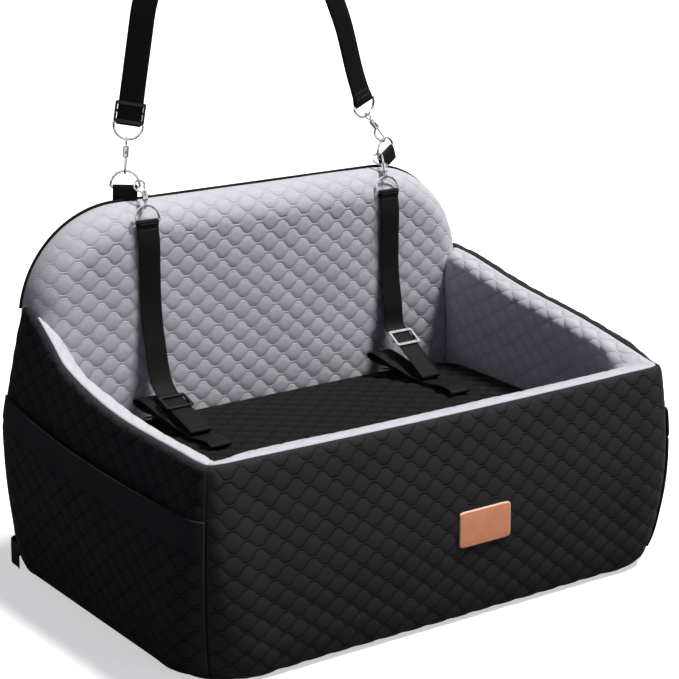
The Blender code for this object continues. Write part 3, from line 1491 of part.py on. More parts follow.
def build_hardware():
    ring = ring_shape()
    snap = snap_shape()
    eye = eye_shape()
    bolt = bolt_shape()
    slider = slider_shape()
    for side, chain, tether in (("left", LEFT, LEFT_TETHER), ("right", RIGHT, RIGHT_TETHER)):
        name = side + "_ring_tab"
        into_parts(ring_tab(name, chain), soft(name, BLACK_WEBBING))
        for kind, frame in (("backrest_ring", chain.ring), ("strap_ring", chain.strap_ring),
                            ("tether_ring", tether.ring)):
            name = side + "_" + kind
            into_parts(moved_copy(ring, name, frame), metal(name, CHROME, 0.2))
        for kind, frames in (("strap", chain), ("tether", tether)):
            name = side + "_" + kind + "_snap"
            into_parts(moved_copy(snap, name, frames.snap), metal(name, CHROME, 0.2))
            name = side + "_" + kind + "_swivel"
            into_parts(moved_copy(eye, name, frames.eye), metal(name, CHROME, 0.2))
            name = side + "_" + kind + "_bolt"
            into_parts(moved_copy(bolt, name, frames.snap), metal(name, CHROME, 0.2))
        name = side + "_tether_slider"
        finish = metal(name, DARK_METAL if side == "left" else CHROME, 0.3)
        into_parts(moved_copy(slider, name, tether.slider), finish)
        name = side + "_tether_webbing"
        into_parts(tether_webbing(name, tether), soft(name, BLACK_WEBBING))
    place_at = Vector((0.0, -(RING_WIRE / 2 + WEBBING_GAP + WEBBING / 2), STRAP_SLIDER_PLACE))
    frame = LEFT.strand @ Matrix.Translation(place_at)
    into_parts(moved_copy(slider, "strap_slider", frame), metal("strap_slider", DARK_METAL, 0.35))
    into_parts(strap_webbing("strap_webbing"), soft("strap_webbing", BLACK_WEBBING))
    for tool in (ring, snap, eye, bolt, slider):
        bpy.data.objects.remove(tool, do_unlink=True)


build_body()
build_hardware()
bpy.context.view_layer.update()
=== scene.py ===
# %% [markdown]
# # A quilted dog car seat
# The seat is a padded tray for a car's rear bench: foam walls under a black quilted cover, a
# pale quilted lining, a raised backrest, a headrest strap and two tethers with bolt snaps.
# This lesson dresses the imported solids.  The soft parts are sewn again here as fine meshes,
# and the metal parts stay as they are and get a better finish.

from math import acos, asin, cos, hypot, pi, radians, sin, sqrt, tan

import bpy
import numpy as np
from mathutils import Matrix, Vector


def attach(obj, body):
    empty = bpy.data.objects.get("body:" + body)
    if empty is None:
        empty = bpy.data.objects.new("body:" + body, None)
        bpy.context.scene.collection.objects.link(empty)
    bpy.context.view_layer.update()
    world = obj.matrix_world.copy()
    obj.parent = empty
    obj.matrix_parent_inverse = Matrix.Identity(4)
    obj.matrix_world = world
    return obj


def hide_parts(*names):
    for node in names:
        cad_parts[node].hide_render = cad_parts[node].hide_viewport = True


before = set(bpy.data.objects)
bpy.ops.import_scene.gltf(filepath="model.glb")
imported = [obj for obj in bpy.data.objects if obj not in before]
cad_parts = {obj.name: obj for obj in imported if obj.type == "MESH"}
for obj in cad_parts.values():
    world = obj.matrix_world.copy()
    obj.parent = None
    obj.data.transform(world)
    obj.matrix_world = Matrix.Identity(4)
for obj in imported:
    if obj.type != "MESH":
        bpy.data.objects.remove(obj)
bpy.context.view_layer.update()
MM = 0.001

# %% [markdown]
# ## Small tools for materials
# A colour is picked on screen, so it is written as an sRGB hex value and turned to linear light
# once.  One function adds any node, with its settings and links, which keeps each finish short.

# %% Colour and node helpers
def linear(hex_colour):
    """A colour written as sRGB hex, as linear light."""
    values = [int(hex_colour[i:i + 2], 16) / 255 for i in (1, 3, 5)]
    values = [v / 12.92 if v <= 0.04045 else ((v + 0.055) / 1.055) ** 2.4 for v in values]
    return (*values, 1.0)


def add(tree, kind, inputs=(), **settings):
    """One node: settings are its properties, inputs are values or sockets by name or place."""
    made = tree.nodes.new(kind)
    for name, value in settings.items():
        setattr(made, name, value)
    for place, value in dict(inputs).items():
        if isinstance(value, bpy.types.NodeSocket):
            tree.links.new(value, made.inputs[place])
        else:
            made.inputs[place].default_value = value
    return made


def blank(name):
    """A new material with its tree and its main shader."""
    made = bpy.data.materials.new(name)
    made.use_nodes = True
    return made, made.node_tree, made.node_tree.nodes["Principled BSDF"]


def mixed(tree, factor, one, two):
    """A mix of two colours by a factor."""
    made = add(tree, "ShaderNodeMix", {0: factor, 6: one, 7: two}, data_type="RGBA")
    return made.outputs[2]


def maths(tree, operation, *values):
    made = add(tree, "ShaderNodeMath", dict(enumerate(values)), operation=operation)
    return made.outputs[0]


def sewn_place(tree):
    """Each point's place on the flat cloth, which the meshes carry as an attribute."""
    return add(tree, "ShaderNodeAttribute", attribute_name="cloth").outputs["Vector"]


def finished(tree, shader, colour, roughness, gloss, relief, strength, depth_mm):
    """Gives a shader its colour, roughness, gloss and relief."""
    tree.links.new(colour, shader.inputs["Base Color"])
    shader.inputs["Roughness"].default_value = roughness
    shader.inputs["Specular IOR Level"].default_value = gloss
    bump = add(tree, "ShaderNodeBump", {"Strength": strength, "Distance": depth_mm * MM,
                                        "Height": relief})
    tree.links.new(bump.outputs[0], shader.inputs["Normal"])


print("white is", linear("#ffffff"))

# %% [markdown]
# ## Camera
# The photograph was taken from the left front with a long lens, a little above the seat.  The
# numbers come from a camera fitted to the seat's straight seams: how far round, how high, how
# far away and how much the picture leans.  The lens follows from the picture's width in pixels.

# %% Camera
VIEW_AROUND = radians(-36.01)
VIEW_ABOVE = radians(16.79)
VIEW_LEAN = radians(0.93)
VIEW_DISTANCE = 2.755
VIEW_TARGET = Vector((0.0121, 0.0225, 0.2983))
PICTURE_WIDTH = 679
FOCAL_PIXELS = 2123
SENSOR = 36.0

back = Vector((sin(VIEW_AROUND) * cos(VIEW_ABOVE), -cos(VIEW_AROUND) * cos(VIEW_ABOVE),
               sin(VIEW_ABOVE)))
level = Vector((cos(VIEW_AROUND), sin(VIEW_AROUND), 0.0))
upright = back.cross(level)
right = level * cos(VIEW_LEAN) + upright * sin(VIEW_LEAN)
upward = upright * cos(VIEW_LEAN) - level * sin(VIEW_LEAN)
camera_data = bpy.data.cameras.new("camera")
camera_data.sensor_width = SENSOR
camera_data.lens = FOCAL_PIXELS / PICTURE_WIDTH * SENSOR
camera = bpy.data.objects.new("camera", camera_data)
placed = Matrix.Identity(4)
for column, way in enumerate((right, upward, back, VIEW_TARGET + back * VIEW_DISTANCE)):
    for row in range(3):
        placed[row][column] = way[row]
camera.matrix_world = placed
scene = bpy.context.scene
scene.collection.objects.link(camera)
scene.camera = camera
scene.view_settings.view_transform = "Standard"
print("lens", round(camera_data.lens, 1), "mm")

# %% [markdown]
# ## Light and floor
# One broad key light stands high on the right, so the tethers throw a soft shadow to the left
# on the backrest and the inside of the right wall stays in shade.  A weak fill from low in
# front lifts the front panel and the patch.  The camera and the metal see a white room, but the
# cloth gets little light from it.  The floor is pale paint that keeps the seat's soft shadow.

# %% Lights
KEY_FROM = Vector((0.39, -0.21, 1.10))
KEY_STRENGTH = 4.15
KEY_SOFTNESS = radians(14)
FILL_FROM = Vector((0.30, -0.90, 0.16))
FILL_STRENGTH = 0.45
ROOM_LIGHT = 0.10
ROOM_TINT = "#d9d3fa"

for title, way, strength in (("key", KEY_FROM, KEY_STRENGTH), ("fill", FILL_FROM, FILL_STRENGTH)):
    lamp = bpy.data.lights.new(title, "SUN")
    lamp.energy = strength
    lamp.angle = KEY_SOFTNESS
    holder = bpy.data.objects.new(title, lamp)
    holder.rotation_euler = way.to_track_quat("Z", "Y").to_euler()
    scene.collection.objects.link(holder)

world = bpy.data.worlds.new("room")
scene.world = world
world.use_nodes = True
room = world.node_tree
seen = add(room, "ShaderNodeLightPath")
direct = maths(room, "MAXIMUM", seen.outputs["Is Camera Ray"], seen.outputs["Is Glossy Ray"])
direct = maths(room, "MAXIMUM", direct, seen.outputs["Is Transmission Ray"])
brightness = maths(room, "MULTIPLY_ADD", direct, 1.0 - ROOM_LIGHT, ROOM_LIGHT)
room.links.new(brightness, room.nodes["Background"].inputs["Strength"])
tint = mixed(room, direct, linear(ROOM_TINT), linear("#ffffff"))
room.links.new(tint, room.nodes["Background"].inputs["Color"])

# %% Floor
FLOOR_REACH = 30.0
FLOOR_DROP = 0.5 * MM
FLOOR_GLOW = 0.55
floor_mesh = bpy.data.meshes.new("floor")
floor_mesh.from_pydata([(x * FLOOR_REACH, y * FLOOR_REACH, -FLOOR_DROP)
                        for x, y in ((-1, -1), (1, -1), (1, 1), (-1, 1))], [], [(0, 1, 2, 3)])
floor = bpy.data.objects.new("floor", floor_mesh)
scene.collection.objects.link(floor)
paint, tree, shader = blank("white_floor_paint")
shader.inputs["Roughness"].default_value = 0.9
shader.inputs["Specular IOR Level"].default_value = 0.0
glow = add(tree, "ShaderNodeLightPath")
tree.links.new(mixed(tree, glow.outputs["Is Camera Ray"], linear("#6c6c6c"), linear("#f6f6f6")),
               shader.inputs["Base Color"])
shader.inputs["Emission Color"].default_value = (1.0, 1.0, 1.0, 1.0)
tree.links.new(maths(tree, "MULTIPLY", glow.outputs["Is Camera Ray"], FLOOR_GLOW),
               shader.inputs["Emission Strength"])
floor_mesh.materials.append(paint)
print("floor", 2 * FLOOR_REACH, "m across")

# %% [markdown]
# ## The quilting pattern
# The cover and the lining are sewn to a thin wadding on a quilting machine.  The thread runs
# across in waves, and each wave is the mirror image of the next.  So the rows swell into beads
# that are round above and below, joined by thin level necks, and the beads of one row sit over
# the necks of the next.  The same numbers drive the puffed shape of the mesh and the thread
# line in the material, so they always agree.

# %% Quilting maths
CELL_ACROSS = 18.2 * MM
CELL_UP = 14.4 * MM
SWING = 0.375
FLAT = 0.08
RIPPLE_WAVES = 9
RIPPLE_GAIN = 1.6


def wave(x):
    """How far a thread swings from its row's line over x half cells, in row heights."""
    return SWING / (1 - FLAT) * (np.cos(pi * x) - FLAT * np.cos(3 * pi * x))


def to_line(value):
    """Distance to the nearest even number, from 0 to 1."""
    return 1 - np.abs(np.mod(value, 2.0) - 1)


def puff(u, v):
    """Height of the quilting from 0 on the thread to 1 in the middle of a bead."""
    swing = wave(u / CELL_ACROSS)
    one = to_line(v / CELL_UP - swing)
    two = to_line(v / CELL_UP + swing - 1)
    return (1 - (1 - one) ** 4) * (1 - (1 - two) ** 4)


def ripple(points, seed, size):
    """Slow unevenness of hand-fed cloth, about -1 to 1, from a few waves in set directions."""
    rng = np.random.default_rng(seed)
    total = np.zeros(points.shape[:-1])
    for _ in range(RIPPLE_WAVES):
        way = rng.normal(size=3)
        way /= np.linalg.norm(way) * size * rng.uniform(0.6, 1.6)
        total += np.sin(points @ way * 2 * pi + rng.uniform(0, 2 * pi))
    return total / RIPPLE_WAVES * RIPPLE_GAIN


print("bead middle", round(float(puff(0.0, CELL_UP / 2)), 2))

# %% [markdown]
# ## Cloth finishes
# The cover is brushed polyester, which looks matt and nearly black, with a faint haze where
# the light grazes the fibres.  The cushion is the same cloth, but darker, as painted shade for
# the walls' shadow over it.  The lining is a short silver-grey plush.  Thread spacing is about
# half a millimetre in all, too fine for the picture, so the grain is drawn at two to three.
# The thread line darkens and sinks, as the needle pulls it down, and the hollow beside it gets
# a little painted shade.

# %% Quilted cloth
def quilting_lines(tree, cloth, width):
    """1 on the thread lines, fading over a width in row heights, and over four for painted shade.
    """
    parts = add(tree, "ShaderNodeSeparateXYZ", {0: cloth})
    across = maths(tree, "DIVIDE", parts.outputs[0], CELL_ACROSS)
    up = maths(tree, "DIVIDE", parts.outputs[1], CELL_UP)
    turn = maths(tree, "MULTIPLY", across, pi)
    slow = maths(tree, "COSINE", turn)
    fast = maths(tree, "COSINE", maths(tree, "MULTIPLY", turn, 3.0))
    swing = maths(tree, "MULTIPLY", maths(tree, "MULTIPLY_ADD", fast, -FLAT, slow),
                  SWING / (1 - FLAT))
    one = maths(tree, "PINGPONG", maths(tree, "SUBTRACT", up, swing), 1.0)
    two = maths(tree, "PINGPONG", maths(tree, "SUBTRACT", maths(tree, "ADD", up, swing), 1.0),
                1.0)
    near = maths(tree, "MINIMUM", one, two)
    found = []
    for reach in (width, 4 * width):
        line = add(tree, "ShaderNodeMapRange", {0: near, 1: 0.0, 2: reach, 3: 1.0, 4: 0.0},
                   interpolation_type="SMOOTHSTEP")
        found.append(maths(tree, "MULTIPLY", line.outputs[0], parts.outputs[2]))
    return found


def quilted_cloth(name, colours, roughness, sheen, line_share, bump_mm, valley_shade):
    """Colours: of the nap, of its darker patches and of the thread."""
    ground, deep, thread = map(linear, colours)
    made, tree, shader = blank(name)
    cloth = sewn_place(tree)
    lines, painted_shade_band = quilting_lines(tree, cloth, line_share)
    fibres = add(tree, "ShaderNodeTexNoise", {"Vector": cloth, "Scale": 1 / (2.2 * MM),
                                              "Detail": 3.0, "Roughness": 0.6})
    patches = add(tree, "ShaderNodeTexNoise", {"Vector": cloth, "Scale": 1 / (60 * MM),
                                               "Detail": 2.0})
    warp = add(tree, "ShaderNodeTexWave", {"Vector": cloth, "Scale": 1 / (3.1 * MM),
                                           "Distortion": 1.2, "Detail": 1.0},
               bands_direction="Y")
    shade = maths(tree, "MULTIPLY_ADD", fibres.outputs["Fac"], 0.6,
                  maths(tree, "MULTIPLY", patches.outputs["Fac"], 0.5))
    colour = mixed(tree, shade, ground, deep)
    # Painted shade: the hollow beside each thread line is mixed towards black.
    colour = mixed(tree, maths(tree, "MULTIPLY", painted_shade_band, valley_shade), colour, linear("#000000"))
    colour = mixed(tree, lines, colour, thread)
    shader.inputs["Sheen Weight"].default_value = sheen
    shader.inputs["Sheen Roughness"].default_value = 0.5
    weave = maths(tree, "MULTIPLY_ADD", warp.outputs["Fac"], 0.35, fibres.outputs["Fac"])
    sunk = maths(tree, "MULTIPLY_ADD", lines, -3.0, weave)
    finished(tree, shader, colour, roughness, 0.03, sunk, 0.6, bump_mm)
    return made


cover_cloth = quilted_cloth("black_brushed_polyester", ("#38383a", "#2d2d2e", "#1a1a1b"),
                            0.9, 0.03, 0.09, 0.30, 0.22)
lining_cloth = quilted_cloth("silver_grey_plush", ("#d9d8dc", "#b9b7c0", "#dcdbdf"),
                             0.92, 0.12, 0.08, 0.32, 0.25)
# A darker copy of the cover cloth: painted shade for the walls' shadow over the cushion.
shaded_cushion_cloth = quilted_cloth("black_brushed_polyester_painted_shade",
                              ("#202021", "#19191a", "#101011"), 0.9, 0.03, 0.09, 0.30, 0.30)
print("cloths:", cover_cloth.name, lining_cloth.name, shaded_cushion_cloth.name)

# %% [markdown]
# Webbing is woven nylon tape.  Its ribs run along the tape and the filling crosses them, which
# gives the dull satin look.  The ribs stand 1.6 mm apart.  The same cell has the finish of the
# sewing thread, the two plates of the metal parts and the board.

# %% Webbing, thread, plate and board
def woven_tape(name, ground, rib_mm, pick_mm, roughness):
    made, tree, shader = blank(name)
    cloth = sewn_place(tree)
    ribs = add(tree, "ShaderNodeTexWave", {"Vector": cloth, "Scale": 1 / (rib_mm * MM * pi),
                                           "Distortion": 0.3}, bands_direction="X")
    picks = add(tree, "ShaderNodeTexWave", {"Vector": cloth, "Scale": 1 / (pick_mm * MM * pi),
                                            "Distortion": 0.6}, bands_direction="Y")
    height = maths(tree, "MULTIPLY_ADD", picks.outputs["Fac"], 0.5, ribs.outputs["Fac"])
    colour = mixed(tree, maths(tree, "MULTIPLY", height, 0.6), linear("#0a0a0b"), linear(ground))
    finished(tree, shader, colour, roughness, 0.1, height, 0.5, 0.25)
    return made


webbing_cloth = woven_tape("black_nylon_webbing", "#151516", 1.6, 0.9, 0.6)


def plain_finish(name, ground, other, grain_and_reflection_mm, roughness, metallic=0.0, bump_mm=0.0):
    """One fine noise varies colour, gloss and surface; on the zinc it paints reflections."""
    made, tree, shader = blank(name)
    where = add(tree, "ShaderNodeTexCoord").outputs["Object"]
    grain = add(tree, "ShaderNodeTexNoise", {"Vector": where, "Scale": 1 / (grain_and_reflection_mm * MM),
                                             "Detail": 4.0})
    tree.links.new(mixed(tree, grain.outputs["Fac"], linear(ground), linear(other)),
                   shader.inputs["Base Color"])
    spread = add(tree, "ShaderNodeMapRange", {0: grain.outputs["Fac"], 3: roughness * 0.8,
                                              4: roughness * 1.25})
    tree.links.new(spread.outputs[0], shader.inputs["Roughness"])
    shader.inputs["Metallic"].default_value = metallic
    if bump_mm:
        bump = add(tree, "ShaderNodeBump", {"Strength": 0.6, "Distance": bump_mm * MM,
                                            "Height": grain.outputs["Fac"]})
        tree.links.new(bump.outputs[0], shader.inputs["Normal"])
    return made


# The thread is black; its lighter grey is a painted highlight along the stitches.
highlighted_thread = plain_finish("black_sewing_thread_painted_highlight", "#464648", "#343436", 0.5, 0.55)
# On the zinc, the noise between near white and mid grey is painted reflections.
polished_zinc = plain_finish("polished_zinc_plate_painted_reflections", "#fbfbfd", "#77777c", 5.0, 0.10, 1.0)
dark_nickel = plain_finish("dark_nickel_plate", "#5a5b5f", "#47484c", 9.0, 0.24, 1.0)
stiff_board = plain_finish("grey_pulp_board", "#6f6f72", "#626265", 2.0, 0.8, 0.0, 0.1)
print("metals:", polished_zinc.name, dark_nickel.name)

# %% [markdown]
# ## Fine cloth panels
# Each panel starts from a few columns of points on the seat's outline.  Smooth curves through
# them give a grid about 3 mm fine, on which the quilting can puff.  Every point remembers where
# it lies on the flat cloth, for the pattern and the weave.

# %% Smooth grids
def refine(points, spacing):
    """Smooth curves through the points along the first axis, resampled near a spacing."""
    step = np.diff(points, axis=0)
    reach = np.maximum(np.linalg.norm(step, axis=2, keepdims=True), 1e-6)
    slope = step / reach
    lean = np.concatenate([slope[:1], slope[-1:]]) if len(slope) == 1 else np.concatenate(
        [slope[:1], (reach[1:] * slope[:-1] + reach[:-1] * slope[1:]) / (reach[1:] + reach[:-1]),
         slope[-1:]])
    made = []
    for i in range(len(step)):
        count = max(1, int(round(float(reach[i].mean()) / spacing)))
        for f in np.arange(count) / count:
            start = 2 * f ** 3 - 3 * f ** 2 + 1
            end = 3 * f ** 2 - 2 * f ** 3
            made.append(points[i] * start + points[i + 1] * end
                        + lean[i] * reach[i] * (f ** 3 - 2 * f ** 2 + f)
                        + lean[i + 1] * reach[i] * (f ** 3 - f ** 2))
    made.append(points[-1])
    return np.array(made)


def fine_grid(columns, spacing):
    """A fine grid through columns of points, smooth both ways."""
    grid = refine(np.array([[tuple(p) for p in column] for column in columns]), spacing)
    return refine(grid.transpose(1, 0, 2), spacing).transpose(1, 0, 2)


def run(points, axis):
    """Length along the surface from the first row of an axis."""
    step = np.linalg.norm(np.diff(points, axis=axis), axis=2)
    first = np.zeros_like(step[:1] if axis == 0 else step[:, :1])
    return np.concatenate([first, np.cumsum(step, axis=axis)], axis=axis)


def grid_normals(points, outward):
    """Unit normals of a grid, turned to the side that outward says."""
    normal = np.cross(np.gradient(points, axis=0), np.gradient(points, axis=1))
    normal /= np.maximum(np.linalg.norm(normal, axis=2, keepdims=True), 1e-12)
    return normal * outward


def smoothstep(value, low, high):
    """0 below low, 1 above high, with a smooth rise between them."""
    share = np.clip((value - low) / (high - low), 0, 1)
    return share * share * (3 - 2 * share)


def groove(distance, depth_mm, width_mm):
    """A narrow dip along a line, such as where a seam pulls the wadding flat."""
    return depth_mm * MM * np.exp(-(distance / (width_mm * MM)) ** 2)


def laid_flat(points):
    """Place along from the middle, place up, and distance to the panel's nearest edge."""
    along, up = run(points, 0), run(points, 1)
    near = np.minimum(np.minimum(along, along[-1:] - along), np.minimum(up, up[:, -1:] - up))
    return along - along[len(along) // 2][None], up, near


print("a smooth rise is half way up at", float(smoothstep(0.5, 0, 1)))

# %% Meshes from grids
def new_piece(name, points, faces, finish, cloth=None):
    """A smooth mesh object; cloth holds each point's place on the flat cloth."""
    mesh = bpy.data.meshes.new(name)
    mesh.from_pydata([tuple(p) for p in points], [], faces)
    if cloth is not None:
        layer = mesh.attributes.new("cloth", "FLOAT_VECTOR", "POINT")
        layer.data.foreach_set("vector", np.asarray(cloth, dtype=np.float32).ravel())
    mesh.polygons.foreach_set("use_smooth", [True] * len(mesh.polygons))
    mesh.update()
    made = bpy.data.objects.new(name, mesh)
    scene.collection.objects.link(made)
    mesh.materials.append(finish)
    return made


def grid_faces(rows, columns, flip=False):
    index = np.arange(rows * columns).reshape(rows, columns)
    quads = np.stack([index[:-1, :-1], index[1:, :-1], index[1:, 1:], index[:-1, 1:]], axis=-1)
    quads = quads.reshape(-1, 4)
    return (quads[:, ::-1] if flip else quads).tolist()


def grid_rim(rows, columns):
    """The points round the edge of a grid, in order."""
    index = np.arange(rows * columns).reshape(rows, columns)
    return [*index[:-1, 0], *index[-1, :-1], *index[:0:-1, -1], *index[0, :0:-1]]


def between(one, two):
    """Faces between two closed rings of points."""
    return [(one[k], two[k], two[(k + 1) % len(one)], one[(k + 1) % len(one)])
            for k in range(len(one))]


def bar_faces(rings, count, start=0, flip=False):
    """Faces of a bar made of rings of points, with both ends closed."""
    every = [range(start + i * count, start + (i + 1) * count) for i in range(rings)]
    faces = [face for one, two in zip(every, every[1:]) for face in between(one, two)]
    faces += [tuple(every[0]), tuple(every[-1])[::-1]]
    return [face[::-1] for face in faces] if flip else faces


FABRIC_CLEAR = 0.6 * MM
OUTWARD = {"front": 1, "left": -1, "right": 1, "rear": -1}


def sewn_panel(name, points, cloth, outward, finish, rise, fold):
    """A panel with its quilting raised and its four edges turned in by a fold."""
    normal = grid_normals(points, outward)
    shaped = points + normal * rise[..., None]
    under = shaped - normal * fold
    under[..., 2] = np.maximum(under[..., 2], FABRIC_CLEAR)
    full = np.pad(shaped, ((1, 1), (1, 1), (0, 0)), mode="edge")
    full[0, 1:-1], full[-1, 1:-1] = under[0], under[-1]
    full[1:-1, 0], full[1:-1, -1] = under[:, 0], under[:, -1]
    full[0, 0], full[0, -1], full[-1, 0], full[-1, -1] = (
        under[0, 0], under[0, -1], under[-1, 0], under[-1, -1])
    place = np.pad(cloth, ((1, 1), (1, 1), (0, 0)), mode="edge")
    rows, columns = full.shape[:2]
    faces = grid_faces(rows, columns, outward < 0)
    return new_piece(name, full.reshape(-1, 3), faces, finish, place.reshape(-1, 3))


print("faces of a bar with three rings of four:", len(bar_faces(3, 4)))

# %% [markdown]
# ## The seat's outline
# The walls are described by a section: where the cover goes from the floor up over its bulge
# to the shoulder seam, and where the lining goes from there over the top and down inside.  The
# sections stand at stations along each wall, and turn round the corners in two steps.  Most
# measures are those that the solids were made from, in metres.  The photographed seat is fuller
# low down than the solids, though.  So the bulge is larger here and starts lower, the round at
# the floor and the lower corners are tighter, the wall tops slope more to the inside, and the
# left wall's top narrows towards the backrest.

# %% Section of a wall
HALF_WIDTH = 0.350
HALF_DEPTH = 0.2275
FRONT_HEIGHT = 0.273
FRONT_SAG = 0.003
WALL_RISE = 0.080
BACKREST_HEIGHT = 0.468
REST_HALF = 0.344
BACKREST_CORNER = 0.140
BACKREST_EDGE = 0.040
BACKREST_FACE = 0.1695
BACKREST_LEAN = 0.045
SEAT_TOP = 0.189
WALL = 0.042
FACE_EDGE = 0.007
FACE_BULGE = 0.016
LOW_BULGE = 0.20
BOTTOM_ROUND = 0.020
LAYER = 0.0043
LAYER_TOP = 0.0076
BOTTOM_START = radians(10)
SHOULDER_ROUND = 0.012
SEAM_ANGLE = radians(72)
SEAM_GAP_ANGLE = radians(5.5)
TOP_CROWN = 0.0015
INNER_ROUND = 0.018
TOP_CORNER = 0.016
BOTTOM_CORNER = 0.055
INNER_CORNER = 0.004
REAR_CORNER = 0.006
LINING_END_GAP = 0.0010
ROLL_LIMIT = 0.028
MEETING_STEPS = 4
SHOULDER_SHARES = (0.0, 0.42, 0.75, 1.0)
TOP_SHARES = (0.33, 0.67, 1.0)
INNER_TURNS = (radians(30), radians(60), radians(90))
CORNER_STEP = radians(22.5)
CORNER_ANGLES = (2 * CORNER_STEP, CORNER_STEP, 0.0)
LEFT_DIP = 0.011
FRONT_SLOPE = 0.004
LEFT_SLOPE = 0.011
LEFT_REAR_SLOPE = 0.011
REAR_SLOPE_SHARES = (0.45, 0.95)
REAR_TAPER = 0.010
TAPER_SHARES = (0.5, 1.0)
TAPER_HEIGHTS = (0.20, 0.34)
RIGHT_DIP = 0.004
OVER_SHARES = (0.0, 0.10, 0.93, 1.0)
OVER = (0.0, 0.009, 0.009, 0.0)
DIP_REACH = 0.110
CORNER_LIFT = 0.008
LIFT_HEIGHT = 0.140
DECK_HEIGHT = 0.150
FIT = 0.0003
FACE_ROWS = (0.070, 0.115, 0.160, 0.200)
STATION_SHARES = (0.0, 0.10, 0.24, 0.38, 0.50, 0.60, 0.69, 0.77, 0.84, 0.93, 1.0)
RISE_SHARES = {"left": (0.0, 0.0, 0.004, 0.02, 0.08, 0.165, 0.26, 0.375, 0.58, 0.86, 1.0),
               "right": (0.0, 0.17, 0.315, 0.425, 0.50, 0.57, 0.66, 0.745, 0.815, 0.865, 0.88)}
FRONT_SHARES = (0.0, 0.07, 0.18, 0.33, 0.50, 0.67, 0.82, 0.93, 1.0)
INNER_STATIONS = 9
SHOULDER_ROW = 9


def lerp(a, b, share):
    return a + (b - a) * share


def face_out(z, top):
    """How far the outer face stands inside (minus: outside) the seam plane."""
    share = (z - BOTTOM_ROUND) / (top - SHOULDER_ROUND - BOTTOM_ROUND)
    share = min(max(share, 0.0), 1.0)
    return -FACE_EDGE - FACE_BULGE * sin(pi * lerp(LOW_BULGE, 1.0, share))


def corner_radius(t, z, top, upper):
    """The corners are wider near the floor."""
    low = max(0.0, 1.0 - z / top)
    return max(upper - t, INNER_CORNER) + (BOTTOM_CORNER - upper) * low * low


def section(top, drop, upper, over):
    """Cover points, then lining points: distance in from the seam, height, corner radius."""
    centre = BOTTOM_ROUND + face_out(BOTTOM_ROUND, top)
    start = acos((BOTTOM_ROUND - LAYER_TOP) / (BOTTOM_ROUND - LAYER))
    rows = [(centre - BOTTOM_ROUND * sin(a), BOTTOM_ROUND * (1 - cos(a)))
            for a in (BOTTOM_START, start, radians(60), radians(90))]
    shoulder = top - SHOULDER_ROUND
    rows += [(face_out(z, top), z) for z in (*FACE_ROWS, (FACE_ROWS[-1] + shoulder) / 2)]
    across = SHOULDER_ROUND - FACE_EDGE
    for angle in (share * SEAM_ANGLE for share in SHOULDER_SHARES):
        rows.append((across - SHOULDER_ROUND * cos(angle), shoulder + SHOULDER_ROUND * sin(angle)))
    t, z = rows.pop()
    lap = min(over / across, 1.0)
    rows.append((t + over, lerp(z, top, lap)))
    cover = [(t, z, corner_radius(t, z, top, upper)) for t, z in rows]
    seam = SEAM_ANGLE + SEAM_GAP_ANGLE
    t, z = across - SHOULDER_ROUND * cos(seam), shoulder + SHOULDER_ROUND * sin(seam)
    rows = [(t + over, lerp(z, top, lap)), (across + over, top)]
    inner = WALL - INNER_ROUND
    for share in TOP_SHARES:
        t = lerp(across + over, inner, share)
        rows.append((t, top + TOP_CROWN * sin(pi * share) - drop * t / WALL))
    for turn in INNER_TURNS:
        t = inner + INNER_ROUND * sin(turn)
        rows.append((t, top - INNER_ROUND * (1 - cos(turn)) - drop * t / WALL))
    rows.append((WALL, (top - INNER_ROUND + DECK_HEIGHT) / 2))
    rows.append((WALL, DECK_HEIGHT + FIT))
    return cover, [(t, z, max(upper - t, INNER_CORNER)) for t, z in rows]


print("rows of cover and lining:", *map(len, section(FRONT_HEIGHT, 0.0, TOP_CORNER, 0.0)))

# %% Stations and corners
def wall_top(side, share):
    if side == "front":
        return FRONT_HEIGHT - FRONT_SAG * (1 - (2 * share - 1) ** 2)
    rise = float(np.interp(share, STATION_SHARES, RISE_SHARES[side]))
    return FRONT_HEIGHT + WALL_RISE * rise


def wall_drop(side, share):
    """The inner edge of the wall top dips into the front corners, and slopes on the left."""
    length = 2 * HALF_WIDTH if side == "front" else 2 * HALF_DEPTH
    near = max(0.0, 1 - share * length / DIP_REACH)
    far = max(0.0, 1 - (1 - share) * length / DIP_REACH)
    if side == "front":
        return max(LEFT_DIP * near + RIGHT_DIP * far, FRONT_SLOPE)
    if side == "right":
        return near * RIGHT_DIP
    rear = float(smoothstep(share, *REAR_SLOPE_SHARES))
    return max(near * LEFT_DIP, LEFT_SLOPE + LEFT_REAR_SLOPE * rear)


def seam_over(side, share):
    """How far the cover laps over the top of the right wall before the seam."""
    return float(np.interp(share, OVER_SHARES, OVER)) if side == "right" else 0.0


def half_length(side):
    return HALF_WIDTH if side in ("front", "rear") else HALF_DEPTH


def place(side, s, t, z):
    """A point s along a side, t in from its seam and z up."""
    return {"front": (s, t - HALF_DEPTH, z), "rear": (s, HALF_DEPTH - t, z),
            "left": (t - HALF_WIDTH, s, z), "right": (HALF_WIDTH - t, s, z)}[side]


def corner_point(side, end, angle, point):
    """A point on the round of a corner; the lower corners stand clear of the floor."""
    t, z, radius = point
    gap = FIT if angle == CORNER_ANGLES[0] else 0.0
    s = half_length(side) - t - radius + radius * sin(angle) - gap
    lifted = z + CORNER_LIFT * angle / CORNER_ANGLES[0] * max(0.0, 1 - z / LIFT_HEIGHT)
    return place(side, end * s, t + radius - radius * cos(angle), lifted)


